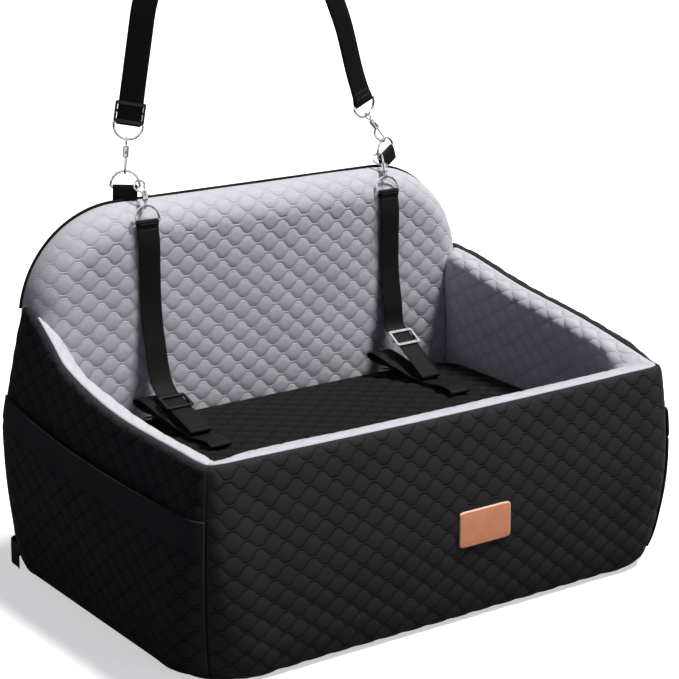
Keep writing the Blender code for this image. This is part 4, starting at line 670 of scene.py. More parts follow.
def tapered(rows, share):
    """The top of the left wall narrows towards the backrest, from outside."""
    most = REAR_TAPER * float(smoothstep(share, *TAPER_SHARES))
    return [(t + most * float(smoothstep(z, *TAPER_HEIGHTS)) * min(max(1 - t / WALL, 0.0), 1.0),
             z, radius) for t, z, radius in rows]


def wall_section(side, share, part, rear=False):
    """The rows of the cover or of the lining at a station of a wall."""
    upper = REAR_CORNER if rear else TOP_CORNER
    cover, lining = section(wall_top(side, share), wall_drop(side, share), upper,
                            seam_over(side, share))
    if side == "left":
        cover, lining = tapered(cover, share), tapered(lining, share)
    return cover if part == "cover" else lining


def straight(side, point):
    """Half length of the straight part of a row."""
    return half_length(side) - point[0] - point[2]


def row_span(side, first, last, part, k):
    """Both ends of the straight part of row k; rows over the shoulder share the seam's."""
    if part == "cover" and k < SHOULDER_ROW:
        return -straight(side, first[k]), straight(side, last[k])
    start = wall_section(side, 0.0, "cover")[-1]
    end = wall_section(side, 1.0, "cover", side != "front")[-1]
    return -straight(side, start), straight(side, end)


def backrest_face(z):
    return BACKREST_FACE + BACKREST_LEAN * (z - SEAT_TOP)


def end_column(side):
    """Last column of a side wall's lining, where it meets the backrest."""
    sections = [wall_section(side, share, "lining", share == 1.0) for share in STATION_SHARES]
    made = []
    for k in range(len(sections[0])):
        low, high = row_span(side, sections[0], sections[-1], "lining", k)
        values = np.array([s[k] for s in sections])
        # The roll of the backrest's edge and the wall's slope move the place where they meet
        share = STATION_SHARES[-2]
        for _ in range(MEETING_STEPS):
            t, z, radius = (float(np.interp(share, STATION_SHARES, values[:, i]))
                            for i in range(3))
            beyond = min(max(HALF_WIDTH - t - (REST_HALF - BACKREST_EDGE), 0.0), ROLL_LIMIT)
            y = backrest_face(z) + BACKREST_EDGE - LINING_END_GAP
            y -= sqrt(BACKREST_EDGE ** 2 - beyond ** 2)
            share = (y - low) / (high - low)
        over = max(0.0, y - high)
        made.append(place(side, y, t + over * tan(CORNER_STEP / 2), z))
    return made


def wall_columns(side, part):
    """Columns of points of the cover or lining of a wall, from one end to the other."""
    first = wall_section(side, 0.0, part)
    last = wall_section(side, 1.0, part, side != "front")
    columns = [[corner_point(side, -1, angle, p) for p in first] for angle in CORNER_ANGLES]
    shares = FRONT_SHARES if side == "front" else STATION_SHARES
    whole = side == "front" or part == "cover"
    for share in shares[1:-1] if whole else shares[1:INNER_STATIONS]:
        column = []
        for k, (t, z, radius) in enumerate(wall_section(side, share, part)):
            low, high = row_span(side, first, last, part, k)
            column.append(place(side, lerp(low, high, share), t, z))
        columns.append(column)
    if whole:
        columns += [[corner_point(side, 1, a, p) for p in last] for a in CORNER_ANGLES[::-1]]
    else:
        columns.append(end_column(side))
    return columns


print("front seam is", round(2000 * HALF_WIDTH), "mm long")

# %% [markdown]
# ## Covers
# Each cover panel ends in a seam at the corners and along the shoulder.  A seam pulls the
# wadding flat, so the quilting fades there and the edge sinks a little into the foam.  Behind
# the side pockets the cover stays flat, so the pockets lie close.

# %% Cover panels
POCKET_MOUTH = 0.210
POCKET_REAR_RISE = 0.025
COVER_SPACING = 2.8 * MM
COVER_PUFF = 1.05 * MM
COVER_LEVEL = 0.35
FABRIC_FOLD = 3.0 * MM


def mouth_height(y):
    """The pocket's mouth rises towards the rear."""
    return POCKET_MOUTH + POCKET_REAR_RISE * np.clip(y / (2 * HALF_DEPTH) + 0.5, 0, 1) ** 3


def cover_panel(side):
    points = fine_grid(wall_columns(side, "cover"), COVER_SPACING)
    middle, up, near = laid_flat(points)
    calm = smoothstep(near, 1.5 * MM, 9 * MM)
    if side != "front":
        above = points[..., 2] - mouth_height(points[..., 1])
        calm = calm * smoothstep(above, -6 * MM, 1 * MM)
    rise = calm * COVER_PUFF * (puff(middle, up) - COVER_LEVEL)
    rise += calm * 0.5 * MM * ripple(points, 3, 0.11) - groove(near, 0.7, 2.5)
    cloth = np.stack([middle, up, calm], axis=-1)
    name = side + "_quilted_cover"
    made = sewn_panel(name, points, cloth, OUTWARD[side], cover_cloth, rise, FABRIC_FOLD)
    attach(made, "seat")
    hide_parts(side + "_cover")
    print(name, "of", points.shape[0], "by", points.shape[1], "points")


for side in ("front", "left", "right"):
    cover_panel(side)

# %% [markdown]
# ## Linings
# The pale lining starts at the shoulder seam, rolls over the wall's top and goes down behind
# the seat cushion.  Over the roll it is stretched tight, so the quilting shows less there, but
# for the right wall, which the light grazes.

# %% Lining panels
LINING_SPACING = 2.6 * MM
LINING_PUFF = 1.35 * MM
LINING_LEVEL = 0.5
ROLL_REACH = (24 * MM, 50 * MM)


def lining_panel(side):
    points = fine_grid(wall_columns(side, "lining"), LINING_SPACING)
    middle, up, near = laid_flat(points)
    calm = smoothstep(near, 1.0 * MM, 8 * MM)
    if side != "right":
        calm = calm * (0.5 + 0.5 * smoothstep(up, *ROLL_REACH))
    rise = calm * LINING_PUFF * (puff(middle, up) - LINING_LEVEL)
    rise += smoothstep(near, 0, 10 * MM) * 0.5 * MM * ripple(points, 5, 0.09)
    rise -= groove(near, 0.8, 2.2)
    cloth = np.stack([middle, up, calm], axis=-1)
    name = side + "_quilted_lining"
    made = sewn_panel(name, points, cloth, OUTWARD[side], lining_cloth, rise, FABRIC_FOLD)
    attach(made, "seat")
    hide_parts(side + "_lining", side + "_foam")
    print(name, "of", points.shape[0], "by", points.shape[1], "points")


for side in ("front", "left", "right"):
    lining_panel(side)

# %% [markdown]
# ## Backrest
# The backrest is a foam slab with a broad rolled edge.  Its lining is one flat field, rows of
# points between the left and right side of the roll's inner line, and a roll of rings round it.
# The cloth is stretched over the roll, so the quilting fades towards the rim.

# %% Backrest lining
REST_CENTRE_X = REST_HALF - BACKREST_CORNER
REST_CENTRE_Z = BACKREST_HEIGHT - BACKREST_CORNER
REST_BOTTOM = DECK_HEIGHT + FIT
REST_REAR = HALF_DEPTH - 0.0042
SIDE_STEPS = 66
ARC_STEPS = 64
FIELD_COLUMNS = 220
ROLL_STEPS = 20
REAR_STEPS = 3
REAR_TURN_IN = 12 * MM
FADE_ANGLE = 0.47 * pi
REST_SKEW = 0.11
SEAM_SINK = 0.6 * MM


def rest_outline():
    """Points and outward ways of the outline, from lower right over the top to lower left."""
    found = []
    for k in range(SIDE_STEPS):
        found.append((REST_HALF, lerp(REST_BOTTOM, REST_CENTRE_Z, k / SIDE_STEPS), 1.0, 0.0))
    for k in range(ARC_STEPS + 1):
        a = pi / 2 * k / ARC_STEPS
        found.append((REST_CENTRE_X + BACKREST_CORNER * cos(a),
                      REST_CENTRE_Z + BACKREST_CORNER * sin(a), cos(a), sin(a)))
    for k in range(1, FIELD_COLUMNS // 2 + 1):
        found.append((REST_CENTRE_X * (1 - 2 * k / FIELD_COLUMNS), BACKREST_HEIGHT, 0.0, 1.0))
    half = np.array(found)
    other = half[:-1][::-1] * (-1, 1, -1, 1)
    return np.concatenate([half, other])


outline = rest_outline()
side_count = SIDE_STEPS + ARC_STEPS + 1
inner_x = outline[:, 0] - BACKREST_EDGE * outline[:, 2]
inner_z = outline[:, 1] - BACKREST_EDGE * outline[:, 3]
rest_points, rest_cloth = [], []
for k in range(side_count):
    for share in np.linspace(1, -1, FIELD_COLUMNS + 1):
        x, z = inner_x[k] * share, inner_z[k]
        rest_points.append((x, backrest_face(z), z))
        rest_cloth.append((x - REST_SKEW * z, z, 1.0))
ring = [k * (FIELD_COLUMNS + 1) for k in range(side_count)]
ring += [(side_count - 1) * (FIELD_COLUMNS + 1) + c for c in range(1, FIELD_COLUMNS)]
ring += [k * (FIELD_COLUMNS + 1) + FIELD_COLUMNS for k in range(side_count)][::-1]
faces = grid_faces(side_count, FIELD_COLUMNS + 1)
for step in range(1, ROLL_STEPS + REAR_STEPS + 1):
    turn = min(step / ROLL_STEPS, 1.0) * pi / 2
    extra = max(0, step - ROLL_STEPS) / REAR_STEPS
    row_start = len(rest_points)
    for k, (x, z, way_x, way_z) in enumerate(outline):
        px = inner_x[k] + way_x * BACKREST_EDGE * sin(turn)
        pz = inner_z[k] + way_z * BACKREST_EDGE * sin(turn)
        y = backrest_face(pz) + BACKREST_EDGE * (1 - cos(turn))
        y = lerp(y, REST_REAR, extra)
        rest_points.append((px, y, pz))
        far = BACKREST_EDGE * turn + extra * REAR_TURN_IN
        fade = 1 - min(1.0, turn / FADE_ANGLE) ** 2
        up_cloth = inner_z[k] + way_z * far
        rest_cloth.append((inner_x[k] + way_x * far - REST_SKEW * up_cloth, up_cloth, fade))
    now = list(range(row_start, len(rest_points)))
    for k in range(len(now) - 1):
        faces.append((ring[k], now[k], now[k + 1], ring[k + 1]))
    ring = now
rest_points, rest_cloth = np.array(rest_points), np.array(rest_cloth)
print("backrest lining:", len(rest_points), "points")

# %% [markdown]
# The rings and the field share one mesh, so its own vertex normals say which way to puff.

# %% Puff a finished mesh
def puffed(name, points, faces, cloth, finish, rise):
    """Builds a mesh, then moves each point along its own normal."""
    made = new_piece(name, points, faces, finish, cloth)
    normal = np.empty(len(points) * 3)
    made.data.vertices.foreach_get("normal", normal)
    moved = points + normal.reshape(-1, 3) * rise[:, None]
    made.data.vertices.foreach_set("co", moved.ravel())
    made.data.update()
    return made


rest_calm = rest_cloth[:, 2]
rest_rise = rest_calm * LINING_PUFF * (puff(*rest_cloth.T[:2]) - LINING_LEVEL)
rest_rise += 0.5 * MM * ripple(rest_points, 8, 0.12)
rest_rise[rest_points[:, 1] > REST_REAR - 2 * MM] -= SEAM_SINK
rest_lining = puffed("backrest_quilted_lining", rest_points, faces, rest_cloth, lining_cloth,
                     rest_rise)
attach(rest_lining, "seat")
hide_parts("backrest_lining", "backrest_foam")
print("puffed by up to", round(1000 * float(rest_rise.max()), 1), "mm")

# %% [markdown]
# ## Back panel
# The black back panel meets the side covers at the corners and rounds over the rim of the
# backrest above them.

# %% Back cover
REAR_SHARES = (-0.80, -0.54, -0.27, 0.0, 0.27, 0.54, 0.80)
REAR_ROWS = (0.03, 0.28, 0.50, 0.68, 0.82, 0.91, 0.955, 1.0)
REAR_RIM = 0.005
REAR_RIM_END = 0.014
REAR_COLUMN = 0.022
REAR_SPACING = 3.0 * MM


def outline_depth(x, z):
    """Distance inside the backrest's outline."""
    over, rise = abs(x) - REST_CENTRE_X, z - REST_CENTRE_Z
    if over > 0 and rise > 0:
        return BACKREST_CORNER - hypot(over, rise)
    return min(REST_HALF - abs(x), BACKREST_HEIGHT - z)


def rear_point(x, z):
    """A point of the back panel, which bulges and rounds over the rim."""
    depth = outline_depth(x, z)
    swell = face_out(z, BACKREST_HEIGHT) + FACE_EDGE
    if depth >= SHOULDER_ROUND:
        near = min(1.0, (depth - SHOULDER_ROUND) / WALL)
        return (x, HALF_DEPTH + FACE_EDGE - swell * near, z)
    share = (SHOULDER_ROUND - depth) / SHOULDER_ROUND
    flat = sqrt(max(0.0, 1 - share * share))
    return (x, HALF_DEPTH - SHOULDER_ROUND + FACE_EDGE + SHOULDER_ROUND * flat, z)


def rim_half(z):
    """Half the width between the rim's seams."""
    radius = BACKREST_CORNER - SHOULDER_ROUND * (1 - sin(SEAM_ANGLE))
    rise = max(z - REST_CENTRE_Z, 0.0)
    return REST_CENTRE_X + sqrt(max(radius * radius - rise * rise, 0.0))


left_end = wall_section("left", 1.0, "cover", True)
right_end = wall_section("right", 1.0, "cover", True)
rear_rows = []
for one, two in zip(left_end, right_end):
    row = [corner_point("rear", -1, angle, one) for angle in CORNER_ANGLES]
    for share in REAR_SHARES:
        part = (share + 1) / 2
        z = lerp(one[1], two[1], part)
        t = lerp(one[0], two[0], part) if z < BOTTOM_ROUND else face_out(z, BACKREST_HEIGHT)
        row.append((share * (REST_HALF - REAR_RIM_END), HALF_DEPTH - t, z))
    row += [corner_point("rear", 1, angle, two) for angle in CORNER_ANGLES[::-1]]
    # One more column at each side, where the rim of the rows above begins
    beside = []
    for corner, at in ((one, 3), (two, -4)):
        x = min(REST_HALF - REAR_COLUMN, HALF_WIDTH - corner[0] - corner[2] - REAR_RIM)
        beside.append((x, row[at][1], corner[1]))
    row.insert(3, (-beside[0][0], *beside[0][1:]))
    row.insert(len(row) - 3, beside[1])
    rear_rows.append(row)
crest = BACKREST_HEIGHT - SHOULDER_ROUND * (1 - sin(SEAM_ANGLE))
for share in REAR_ROWS:
    low, high = lerp(left_end[-1][1], crest, share), lerp(right_end[-1][1], crest, share)
    one, two = rim_half(low), rim_half(high)
    row = [(-one, low), (REAR_RIM - one, low), (REAR_RIM_END - one, low), (REAR_COLUMN - one, low)]
    row += [(a * (lerp(one, two, (a + 1) / 2) - REAR_COLUMN), lerp(low, high, (a + 1) / 2))
            for a in REAR_SHARES]
    row += [(two - REAR_COLUMN, high), (two - REAR_RIM_END, high), (two - REAR_RIM, high),
            (two, high)]
    rear_rows.append([rear_point(x, z) for x, z in row])
back_points = fine_grid(zip(*rear_rows), REAR_SPACING)
middle, up, near = laid_flat(back_points)
calm = smoothstep(near, 1.5 * MM, 10 * MM)
rise = calm * COVER_PUFF * (puff(middle, up) - COVER_LEVEL)
rise += calm * 0.6 * MM * ripple(back_points, 13, 0.13) - groove(near, 0.6, 2.5)
back_panel = sewn_panel("back_quilted_cover", back_points, np.stack([middle, up, calm], axis=-1),
                        OUTWARD["rear"], cover_cloth, rise, FABRIC_FOLD)
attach(back_panel, "seat")
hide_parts("back_cover")
print("back panel of", back_points.shape[0], "by", back_points.shape[1], "points")

# %% [markdown]
# ## Side pockets
# A pocket is a panel of the same quilted cloth over the side, sewn in below and at both ends.
# Its mouth is bound with a wide plain hem, and gapes a little in the middle.

# %% Pockets
POCKET_SLACK = 0.0075
POCKET_CLOTH = 0.0025
POCKET_LEVEL = 0.1
POCKET_FOLD = 2.2 * MM
HEM = 36 * MM


def pocket_rows(side, share, rear, swell):
    """The cover's rows as far as the mouth, moved out by the pocket's slack."""
    cover = wall_section(side, share, "cover", rear)
    mouth = POCKET_MOUTH + POCKET_REAR_RISE * share ** 3
    rows = cover[2:4 + len(FACE_ROWS)]
    low, high = cover[3 + len(FACE_ROWS)], cover[4 + len(FACE_ROWS)]
    part = (mouth - low[1]) / (high[1] - low[1])
    rows.append(tuple(lerp(a, b, part) for a, b in zip(low, high)))
    made = []
    for k, (t, z, radius) in enumerate(rows):
        out = 2 * FIT + POCKET_SLACK * swell * (k / (len(rows) - 1)) ** 2 + POCKET_CLOTH
        made.append((t - out, z, radius + out))
    return made


def pocket_panel(side):
    first, last = pocket_rows(side, 0.0, False, 0.0), pocket_rows(side, 1.0, True, 0.0)
    columns = [[corner_point(side, -1, angle, p) for p in first] for angle in CORNER_ANGLES]
    for share in STATION_SHARES[1:-1]:
        rows = pocket_rows(side, share, False, sin(pi * share) ** 0.6)
        spots = [lerp(-straight(side, a), straight(side, b), share) for a, b in zip(first, last)]
        columns.append([place(side, s, t, z) for s, (t, z, radius) in zip(spots, rows)])
    columns += [[corner_point(side, 1, a, p) for p in last] for a in (0.0, CORNER_STEP)]
    points = fine_grid(columns, COVER_SPACING)
    middle, up, near = laid_flat(points)
    below = up[:, -1:] - up
    calm = smoothstep(near, 1.5 * MM, 8 * MM) * smoothstep(below, HEM - 2 * MM, HEM + 6 * MM)
    rise = calm * COVER_PUFF * (puff(middle, up) - POCKET_LEVEL) + 0.3 * MM
    rise += smoothstep(near, 0, 12 * MM) * 0.7 * MM * ripple(points, 21, 0.08)
    rise += 0.5 * MM * smoothstep(below, HEM, HEM - 4 * MM) - groove(below - HEM, 1.0, 1.8)
    cloth = np.stack([middle, up, calm], axis=-1)
    name = side + "_quilted_pocket"
    made = sewn_panel(name, points, cloth, OUTWARD[side], cover_cloth, rise, POCKET_FOLD)
    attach(made, "seat")
    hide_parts(side + "_pocket")
    print(name, "of", points.shape[0], "by", points.shape[1], "points")


for side in ("left", "right"):
    pocket_panel(side)

# %% [markdown]
# ## Seat cushion
# The loose cushion is a boxed pad: a crowned, quilted top, a seam round it, and sides that draw
# in.  Its outline is a rectangle with slightly rounded corners, squared by a high power.

# %% Cushion
CUSHION_FLOOR = DECK_HEIGHT + 0.0026
CUSHION_EDGE = CUSHION_FLOOR + 0.0315
CUSHION_CROWN = 0.007
CUSHION_GAP = 2 * FIT
CUSHION_HALF = HALF_WIDTH - WALL - CUSHION_GAP
CUSHION_FRONT = WALL - HALF_DEPTH + CUSHION_GAP
CUSHION_REAR = backrest_face(CUSHION_FLOOR) - CUSHION_GAP
CUSHION_GRID = (217, 125)
CUSHION_POWER = 10
CUSHION_PUFF = 2.1 * MM
# Rings of the sides: height as a share of the sides' height, and how far the ring draws in
CUSHION_SIDES = ((0.96, 0.0), (0.9, -0.6 * MM), (0.75, 2.2 * MM), (0.5, 4.5 * MM),
                 (0.25, 3.6 * MM), (0.08, 2.0 * MM), (0.0, 3.5 * MM))


def squared(u, v, power):
    """Draws the points of a square in to a square with rounded corners."""
    size = np.maximum(np.abs(u), np.abs(v))
    reach = (np.abs(u) ** power + np.abs(v) ** power) ** (1 / power)
    return np.where(size > 0, size / np.maximum(reach, 1e-9), 1)


u, v = np.meshgrid(*(np.linspace(-1, 1, count) for count in CUSHION_GRID), indexing="ij")
size = np.maximum(np.abs(u), np.abs(v))
drawn = squared(u, v, CUSHION_POWER)
x = u * drawn * CUSHION_HALF
y = lerp(CUSHION_FRONT, CUSHION_REAR, (v * drawn + 1) / 2)
edge_near = np.minimum((1 - np.abs(u)) * CUSHION_HALF, (1 - np.abs(v)) * 0.5
                       * (CUSHION_REAR - CUSHION_FRONT))
calm = smoothstep(edge_near, 2 * MM, 10 * MM)
crown = CUSHION_CROWN * (0.4 + 0.6 * (1 - size ** 4))
z = CUSHION_EDGE + crown * smoothstep(edge_near, -4 * MM, 9 * MM)
z += calm * CUSHION_PUFF * (puff(x, y) - 0.5)
points = np.stack([x, y, z], axis=-1).reshape(-1, 3).tolist()
places = np.stack([x, y, calm], axis=-1).reshape(-1, 3).tolist()
faces = grid_faces(*CUSHION_GRID)
rim = grid_rim(*CUSHION_GRID)
middle_y = (CUSHION_FRONT + CUSHION_REAR) / 2
last_ring = rim
for share, draw in CUSHION_SIDES:
    start = len(points)
    for i in rim:
        px, py = points[i][0], points[i][1]
        points.append((px * (1 - draw / CUSHION_HALF),
                       middle_y + (py - middle_y) * (1 - draw / (CUSHION_REAR - middle_y)),
                       lerp(CUSHION_FLOOR, CUSHION_EDGE, share)))
        places.append((px, py + (1 - share) * 0.03, 0.0))
    now = range(start, len(points))
    faces += between(last_ring, now)
    last_ring = now
faces.append(tuple(last_ring)[::-1])
cushion = new_piece("seat_quilted_cushion", points, faces, shaded_cushion_cloth, places)
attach(cushion, "seat")
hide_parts("seat_cushion", "deck_cover", "base_foam")
print("cushion", round(2000 * CUSHION_HALF), "by",
      round(1000 * (CUSHION_REAR - CUSHION_FRONT)), "mm")

# %% [markdown]
# ## Base panel
# Under the board lies one panel of coated cloth with small raised dots that grip the car's
# bench.  The dots are too many for geometry, so they are a pattern in the material's relief.
# The panel ends where the lowest row of the side covers begins, so its size comes from there.

# %% Base cloth
def dotted_cloth(name, ground, dot_mm):
    made, tree, shader = blank(name)
    where = add(tree, "ShaderNodeTexCoord").outputs["Object"]
    dots = add(tree, "ShaderNodeTexVoronoi", {"Vector": where, "Scale": 1 / (dot_mm * MM),
                                              "Randomness": 0.0})
    round_dots = add(tree, "ShaderNodeMapRange", {0: dots.outputs["Distance"], 1: 0.22, 2: 0.34,
                                                  3: 1.0, 4: 0.0})
    colour = mixed(tree, round_dots.outputs[0], linear(ground), linear("#3b3b3d"))
    finished(tree, shader, colour, 0.7, 0.5, round_dots.outputs[0], 0.8, 0.5)
    return made


BASE_STEPS = 12
BASE_CORNER_LESS = 0.5 * MM
# Rings from above to below: share of the panel's size, and height in millimetres
BASE_PROFILE = ((0.5, 3.9), (0.96, 3.9), (0.997, 3.3), (1.0, 2.4), (0.998, 1.2), (0.992, 0.3),
                (0.98, 0.0), (0.6, 0.0), (0.2, 0.0))
grip_cloth = dotted_cloth("black_dotted_base_cloth", "#222223", 8.0)
half_x, half_y = (half - left_end[0][0] - FIT for half in (HALF_WIDTH, HALF_DEPTH))
corner = left_end[0][2] - BASE_CORNER_LESS
ring_points = []
for start, sx, sy in ((0, 1, 1), (90, -1, 1), (180, -1, -1), (270, 1, -1)):
    for step in range(BASE_STEPS + 1):
        a = radians(start + 90 * step / BASE_STEPS)
        ring_points.append((sx * (half_x - corner) + corner * cos(a),
                            sy * (half_y - corner) + corner * sin(a)))
points = [(x * share, y * share, height * MM) for share, height in BASE_PROFILE
          for x, y in ring_points]
faces = bar_faces(len(BASE_PROFILE), len(ring_points))
base_panel = new_piece("base_grip_panel", points, faces, grip_cloth)
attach(base_panel, "seat")
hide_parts("base_cover")
print("base", round(2000 * half_x), "by", round(2000 * half_y), "mm")

# %% [markdown]
# ## Piping
# A thin black cord is sewn into the rear seam of the backrest.  It is a round tube along the
# outline, with its ends tucked in above the side walls.  The left end reaches lower, because
# the left wall's top is narrower there.

# %% Tubes
TUBE_SIDES = 12


def tube(name, path, radius, finish):
    """A round tube along a smooth path, its ends closed; points keep their cloth place."""
    path = np.array(path, dtype=float)
    way = np.gradient(path, axis=0)
    way /= np.linalg.norm(way, axis=1, keepdims=True)
    side = np.cross(way, (0.0, 1.0, 0.0))
    side /= np.maximum(np.linalg.norm(side, axis=1, keepdims=True), 1e-9)
    other = np.cross(side, way)
    far = np.concatenate([[0], np.cumsum(np.linalg.norm(np.diff(path, axis=0), axis=1))])
    points, cloth = [], []
    for i in range(len(path)):
        for k in range(TUBE_SIDES):
            a = 2 * pi * k / TUBE_SIDES
            points.append(path[i] + (side[i] * cos(a) + other[i] * sin(a)) * radius)
            cloth.append((radius * a, far[i], 0.0))
    return new_piece(name, points, bar_faces(len(path), TUBE_SIDES), finish, cloth)


PIPING_RADIUS = 0.0019
CORD_ROUND = BACKREST_CORNER + 0.0008
CORD_IN = 0.0036
CORD_ABOVE_WALL = 0.006
LEFT_CORD_DROP = 0.012
CORD_TOP_STEPS = 20


def cord_point(side, turn):
    """A point of the cord on the round of the left (-1) or right (1) corner."""
    return (side * (REST_CENTRE_X + CORD_ROUND * cos(turn)), HALF_DEPTH - CORD_IN,
            REST_CENTRE_Z + CORD_ROUND * sin(turn))


cord_start = max(wall_top("left", 1.0), wall_top("right", 1.0)) + CORD_ABOVE_WALL
first_turn, last_turn = (asin((z - REST_CENTRE_Z) / CORD_ROUND)
                         for z in (cord_start, cord_start - LEFT_CORD_DROP))
cord_path = [cord_point(1, a) for a in np.linspace(first_turn, pi / 2, 40)]
cord_path += [(REST_CENTRE_X * (1 - k / CORD_TOP_STEPS), HALF_DEPTH - CORD_IN,
               REST_CENTRE_Z + CORD_ROUND) for k in range(1, CORD_TOP_STEPS + 1)]
cord_path += [(-x, y, z) for x, y, z in cord_path[-2::-1]]
cord_path += [cord_point(-1, a) for a in np.linspace(first_turn, last_turn, 5)[1:]]
seam_cord = tube("backrest_seam_cord", cord_path, PIPING_RADIUS, webbing_cloth)
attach(seam_cord, "seat")
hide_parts("backrest_piping")
print("piping of", len(cord_path), "rings")

# %% [markdown]
# ## Webbing
# Every strap is one length of 32 mm tape.  The tables give the middle line of each, in metres,
# and which way its width points.  The tape is 1.4 mm thick, with rounded selvedges, and
# smooth curves join the table's points.  Where a slider travels, more points keep the tape
# straight, because the slider moves on a straight line.  The belt loops stand further out than
# their solids, because the cover is fuller there too.

# %% Tape routes
ACROSS_X = (1.0, 0.0, 0.0)
ACROSS_Z = (0.0, 0.0, 1.0)
STRAP_LEFT = (0.831, -0.539, -0.139)
STRAP_RIGHT = (-0.927, -0.114, -0.358)
STRAP_ROUTE = (
    (-0.176, 0.2208, 0.6151), (-0.1813, 0.2242, 0.5695), (-0.1817, 0.224, 0.5681),
    (-0.1824, 0.2232, 0.5671), (-0.1832, 0.2221, 0.5667), (-0.1839, 0.2209, 0.5671),
    (-0.1843, 0.22, 0.5681), (-0.1844, 0.2195, 0.5695), (-0.168, 0.2089, 0.7082),
    (-0.1564, 0.2064, 0.7475), (-0.1336, 0.2054, 0.7768), (-0.1022, 0.2058, 0.7963),
    (-0.0647, 0.2073, 0.8064), (-0.0236, 0.2095, 0.8075), (0.0185, 0.2123, 0.7999),
    (0.0593, 0.2153, 0.7841), (0.096, 0.2184, 0.7603), (0.1264, 0.2212, 0.7289),
    (0.1477, 0.2235, 0.6904), (0.1932, 0.2291, 0.5709), (0.1977, 0.2277, 0.5597),
    (0.1982, 0.2282, 0.5584), (0.1984, 0.2292, 0.5574), (0.1984, 0.2306, 0.5571),
    (0.1981, 0.232, 0.5574), (0.1976, 0.233, 0.5584), (0.197, 0.2333, 0.5597),
    (0.193, 0.2309, 0.5709), (0.188, 0.2303, 0.584))
ARCH_ACROSS = (
    (0.799, -0.601, 0.000), (0.675, -0.738, 0.000), (0.450, -0.893, 0.000),
    (0.134, -0.991, 0.000), (-0.225, -0.974, 0.000), (-0.555, -0.832, 0.000),
    (-0.796, -0.605, 0.000), (-0.930, -0.367, 0.000), (-0.982, -0.189, 0.000))
STRAIGHT_SHARES = (0.06, 0.2, 0.4, 0.6, 0.8, 0.94)
STRAP_SLIDE, TETHER_SLIDE = 7, 14


def kept_straight(line, first):
    """Adds points after one of the table's, so that the tape runs straight under a slider."""
    one, two = np.array(line[first]), np.array(line[first + 1])
    added = tuple(tuple(one + (two - one) * share) for share in STRAIGHT_SHARES)
    return line[:first + 1] + added + line[first + 1:]


STRAP_LINE = kept_straight(STRAP_ROUTE, STRAP_SLIDE)
STRAP_ACROSS = (STRAP_LEFT,) * (9 + len(STRAIGHT_SHARES)) + ARCH_ACROSS + (STRAP_RIGHT,) * 11
print("headrest strap's line:", len(STRAP_LINE), "points")

# %% Tether routes
LEFT_UPPER = (
    (0.1765, 0.4257), (0.1792, 0.4417), (0.1821, 0.4477), (0.1818, 0.4491), (0.1807, 0.4501),
    (0.1793, 0.4505), (0.1779, 0.4501), (0.1769, 0.4491), (0.1765, 0.4477), (0.1774, 0.4417),
    (0.1747, 0.4257), (0.1737, 0.3819), (0.1717, 0.3368), (0.164, 0.293), (0.131, 0.2275))
RIGHT_UPPER = (
    (0.1763, 0.4194), (0.1788, 0.4354), (0.1816, 0.4414), (0.1812, 0.4428), (0.1802, 0.4438),
    (0.1788, 0.4442), (0.1774, 0.4438), (0.1764, 0.4428), (0.176, 0.4414), (0.177, 0.4354),
    (0.1745, 0.4194), (0.1734, 0.375), (0.1713, 0.3293), (0.1625, 0.285), (0.153, 0.25))
# Folds of the spare tape: how far back from the fold's front, and height
UPPER_FOLD = ((0.0, 0.2036), (0.0018, 0.2028), (0.0026, 0.201), (0.0018, 0.1992), (0.0, 0.1984))
LOWER_FOLD = ((0.0, 0.1978), (0.0015, 0.1972), (0.0021, 0.1957), (0.0015, 0.1942), (0.0, 0.1936))
REAR_FOLD = ((0.156, 0.2205), (0.1585, 0.2195), (0.1595, 0.217), (0.1585, 0.2145),
             (0.156, 0.2135))


def tether_line(x, lean, upper, bend, middle, end):
    """A tether's line: down the backrest, then the spare tape folded on the cushion."""
    line = [(x, y, z) for y, z in upper]
    line += [(x, bend - back, z) for back, z in UPPER_FOLD]
    line += [(x + lean / 2, middle, 0.2086), *((x + lean, y, z) for y, z in REAR_FOLD),
             (x + lean / 2, middle, 0.2059), (x, bend, 0.1956)]
    line += [(x, end - back, z) for back, z in LOWER_FOLD]
    line += [(x, bend, 0.1936), (x, 0.15, 0.1936), (x, 0.1675, 0.1885)]
    return kept_straight(tuple(line), TETHER_SLIDE)


LEFT_TETHER_LINE = tether_line(-0.182, -0.020, LEFT_UPPER, 0.0535, 0.1047, 0.006)
RIGHT_TETHER_LINE = tether_line(0.2053, -0.030, RIGHT_UPPER, 0.0745, 0.1152, 0.009)
print("tethers' lines:", len(LEFT_TETHER_LINE), "points each")

# %% Routes of the sewn loops and tabs
LOOP_HEIGHT = 0.018
LEFT_LOOP = (
    (-0.3256, 0.2440), (-0.3305, 0.2427), (-0.3360, 0.2423), (-0.3422, 0.2422),
    (-0.3485, 0.2416), (-0.3543, 0.2398), (-0.3591, 0.2366), (-0.3623, 0.2318),
    (-0.3641, 0.2260), (-0.3647, 0.2197), (-0.3648, 0.2135), (-0.3652, 0.2080),
    (-0.3665, 0.2031))
LEFT_LOOP_LINE = tuple((x, y, LOOP_HEIGHT) for x, y in LEFT_LOOP)
RIGHT_LOOP_LINE = tuple((-x, y, z) for x, y, z in LEFT_LOOP_LINE[::-1])
LEFT_TAB_LINE = (
    (-0.1893, 0.2227, 0.4685), (-0.189, 0.2226, 0.4855), (-0.1888, 0.2229, 0.4869),
    (-0.1882, 0.2237, 0.4879), (-0.1875, 0.2249, 0.4883), (-0.1867, 0.2261, 0.4879),
    (-0.1862, 0.2269, 0.4869), (-0.186, 0.2272, 0.4855), (-0.1862, 0.2274, 0.4685))
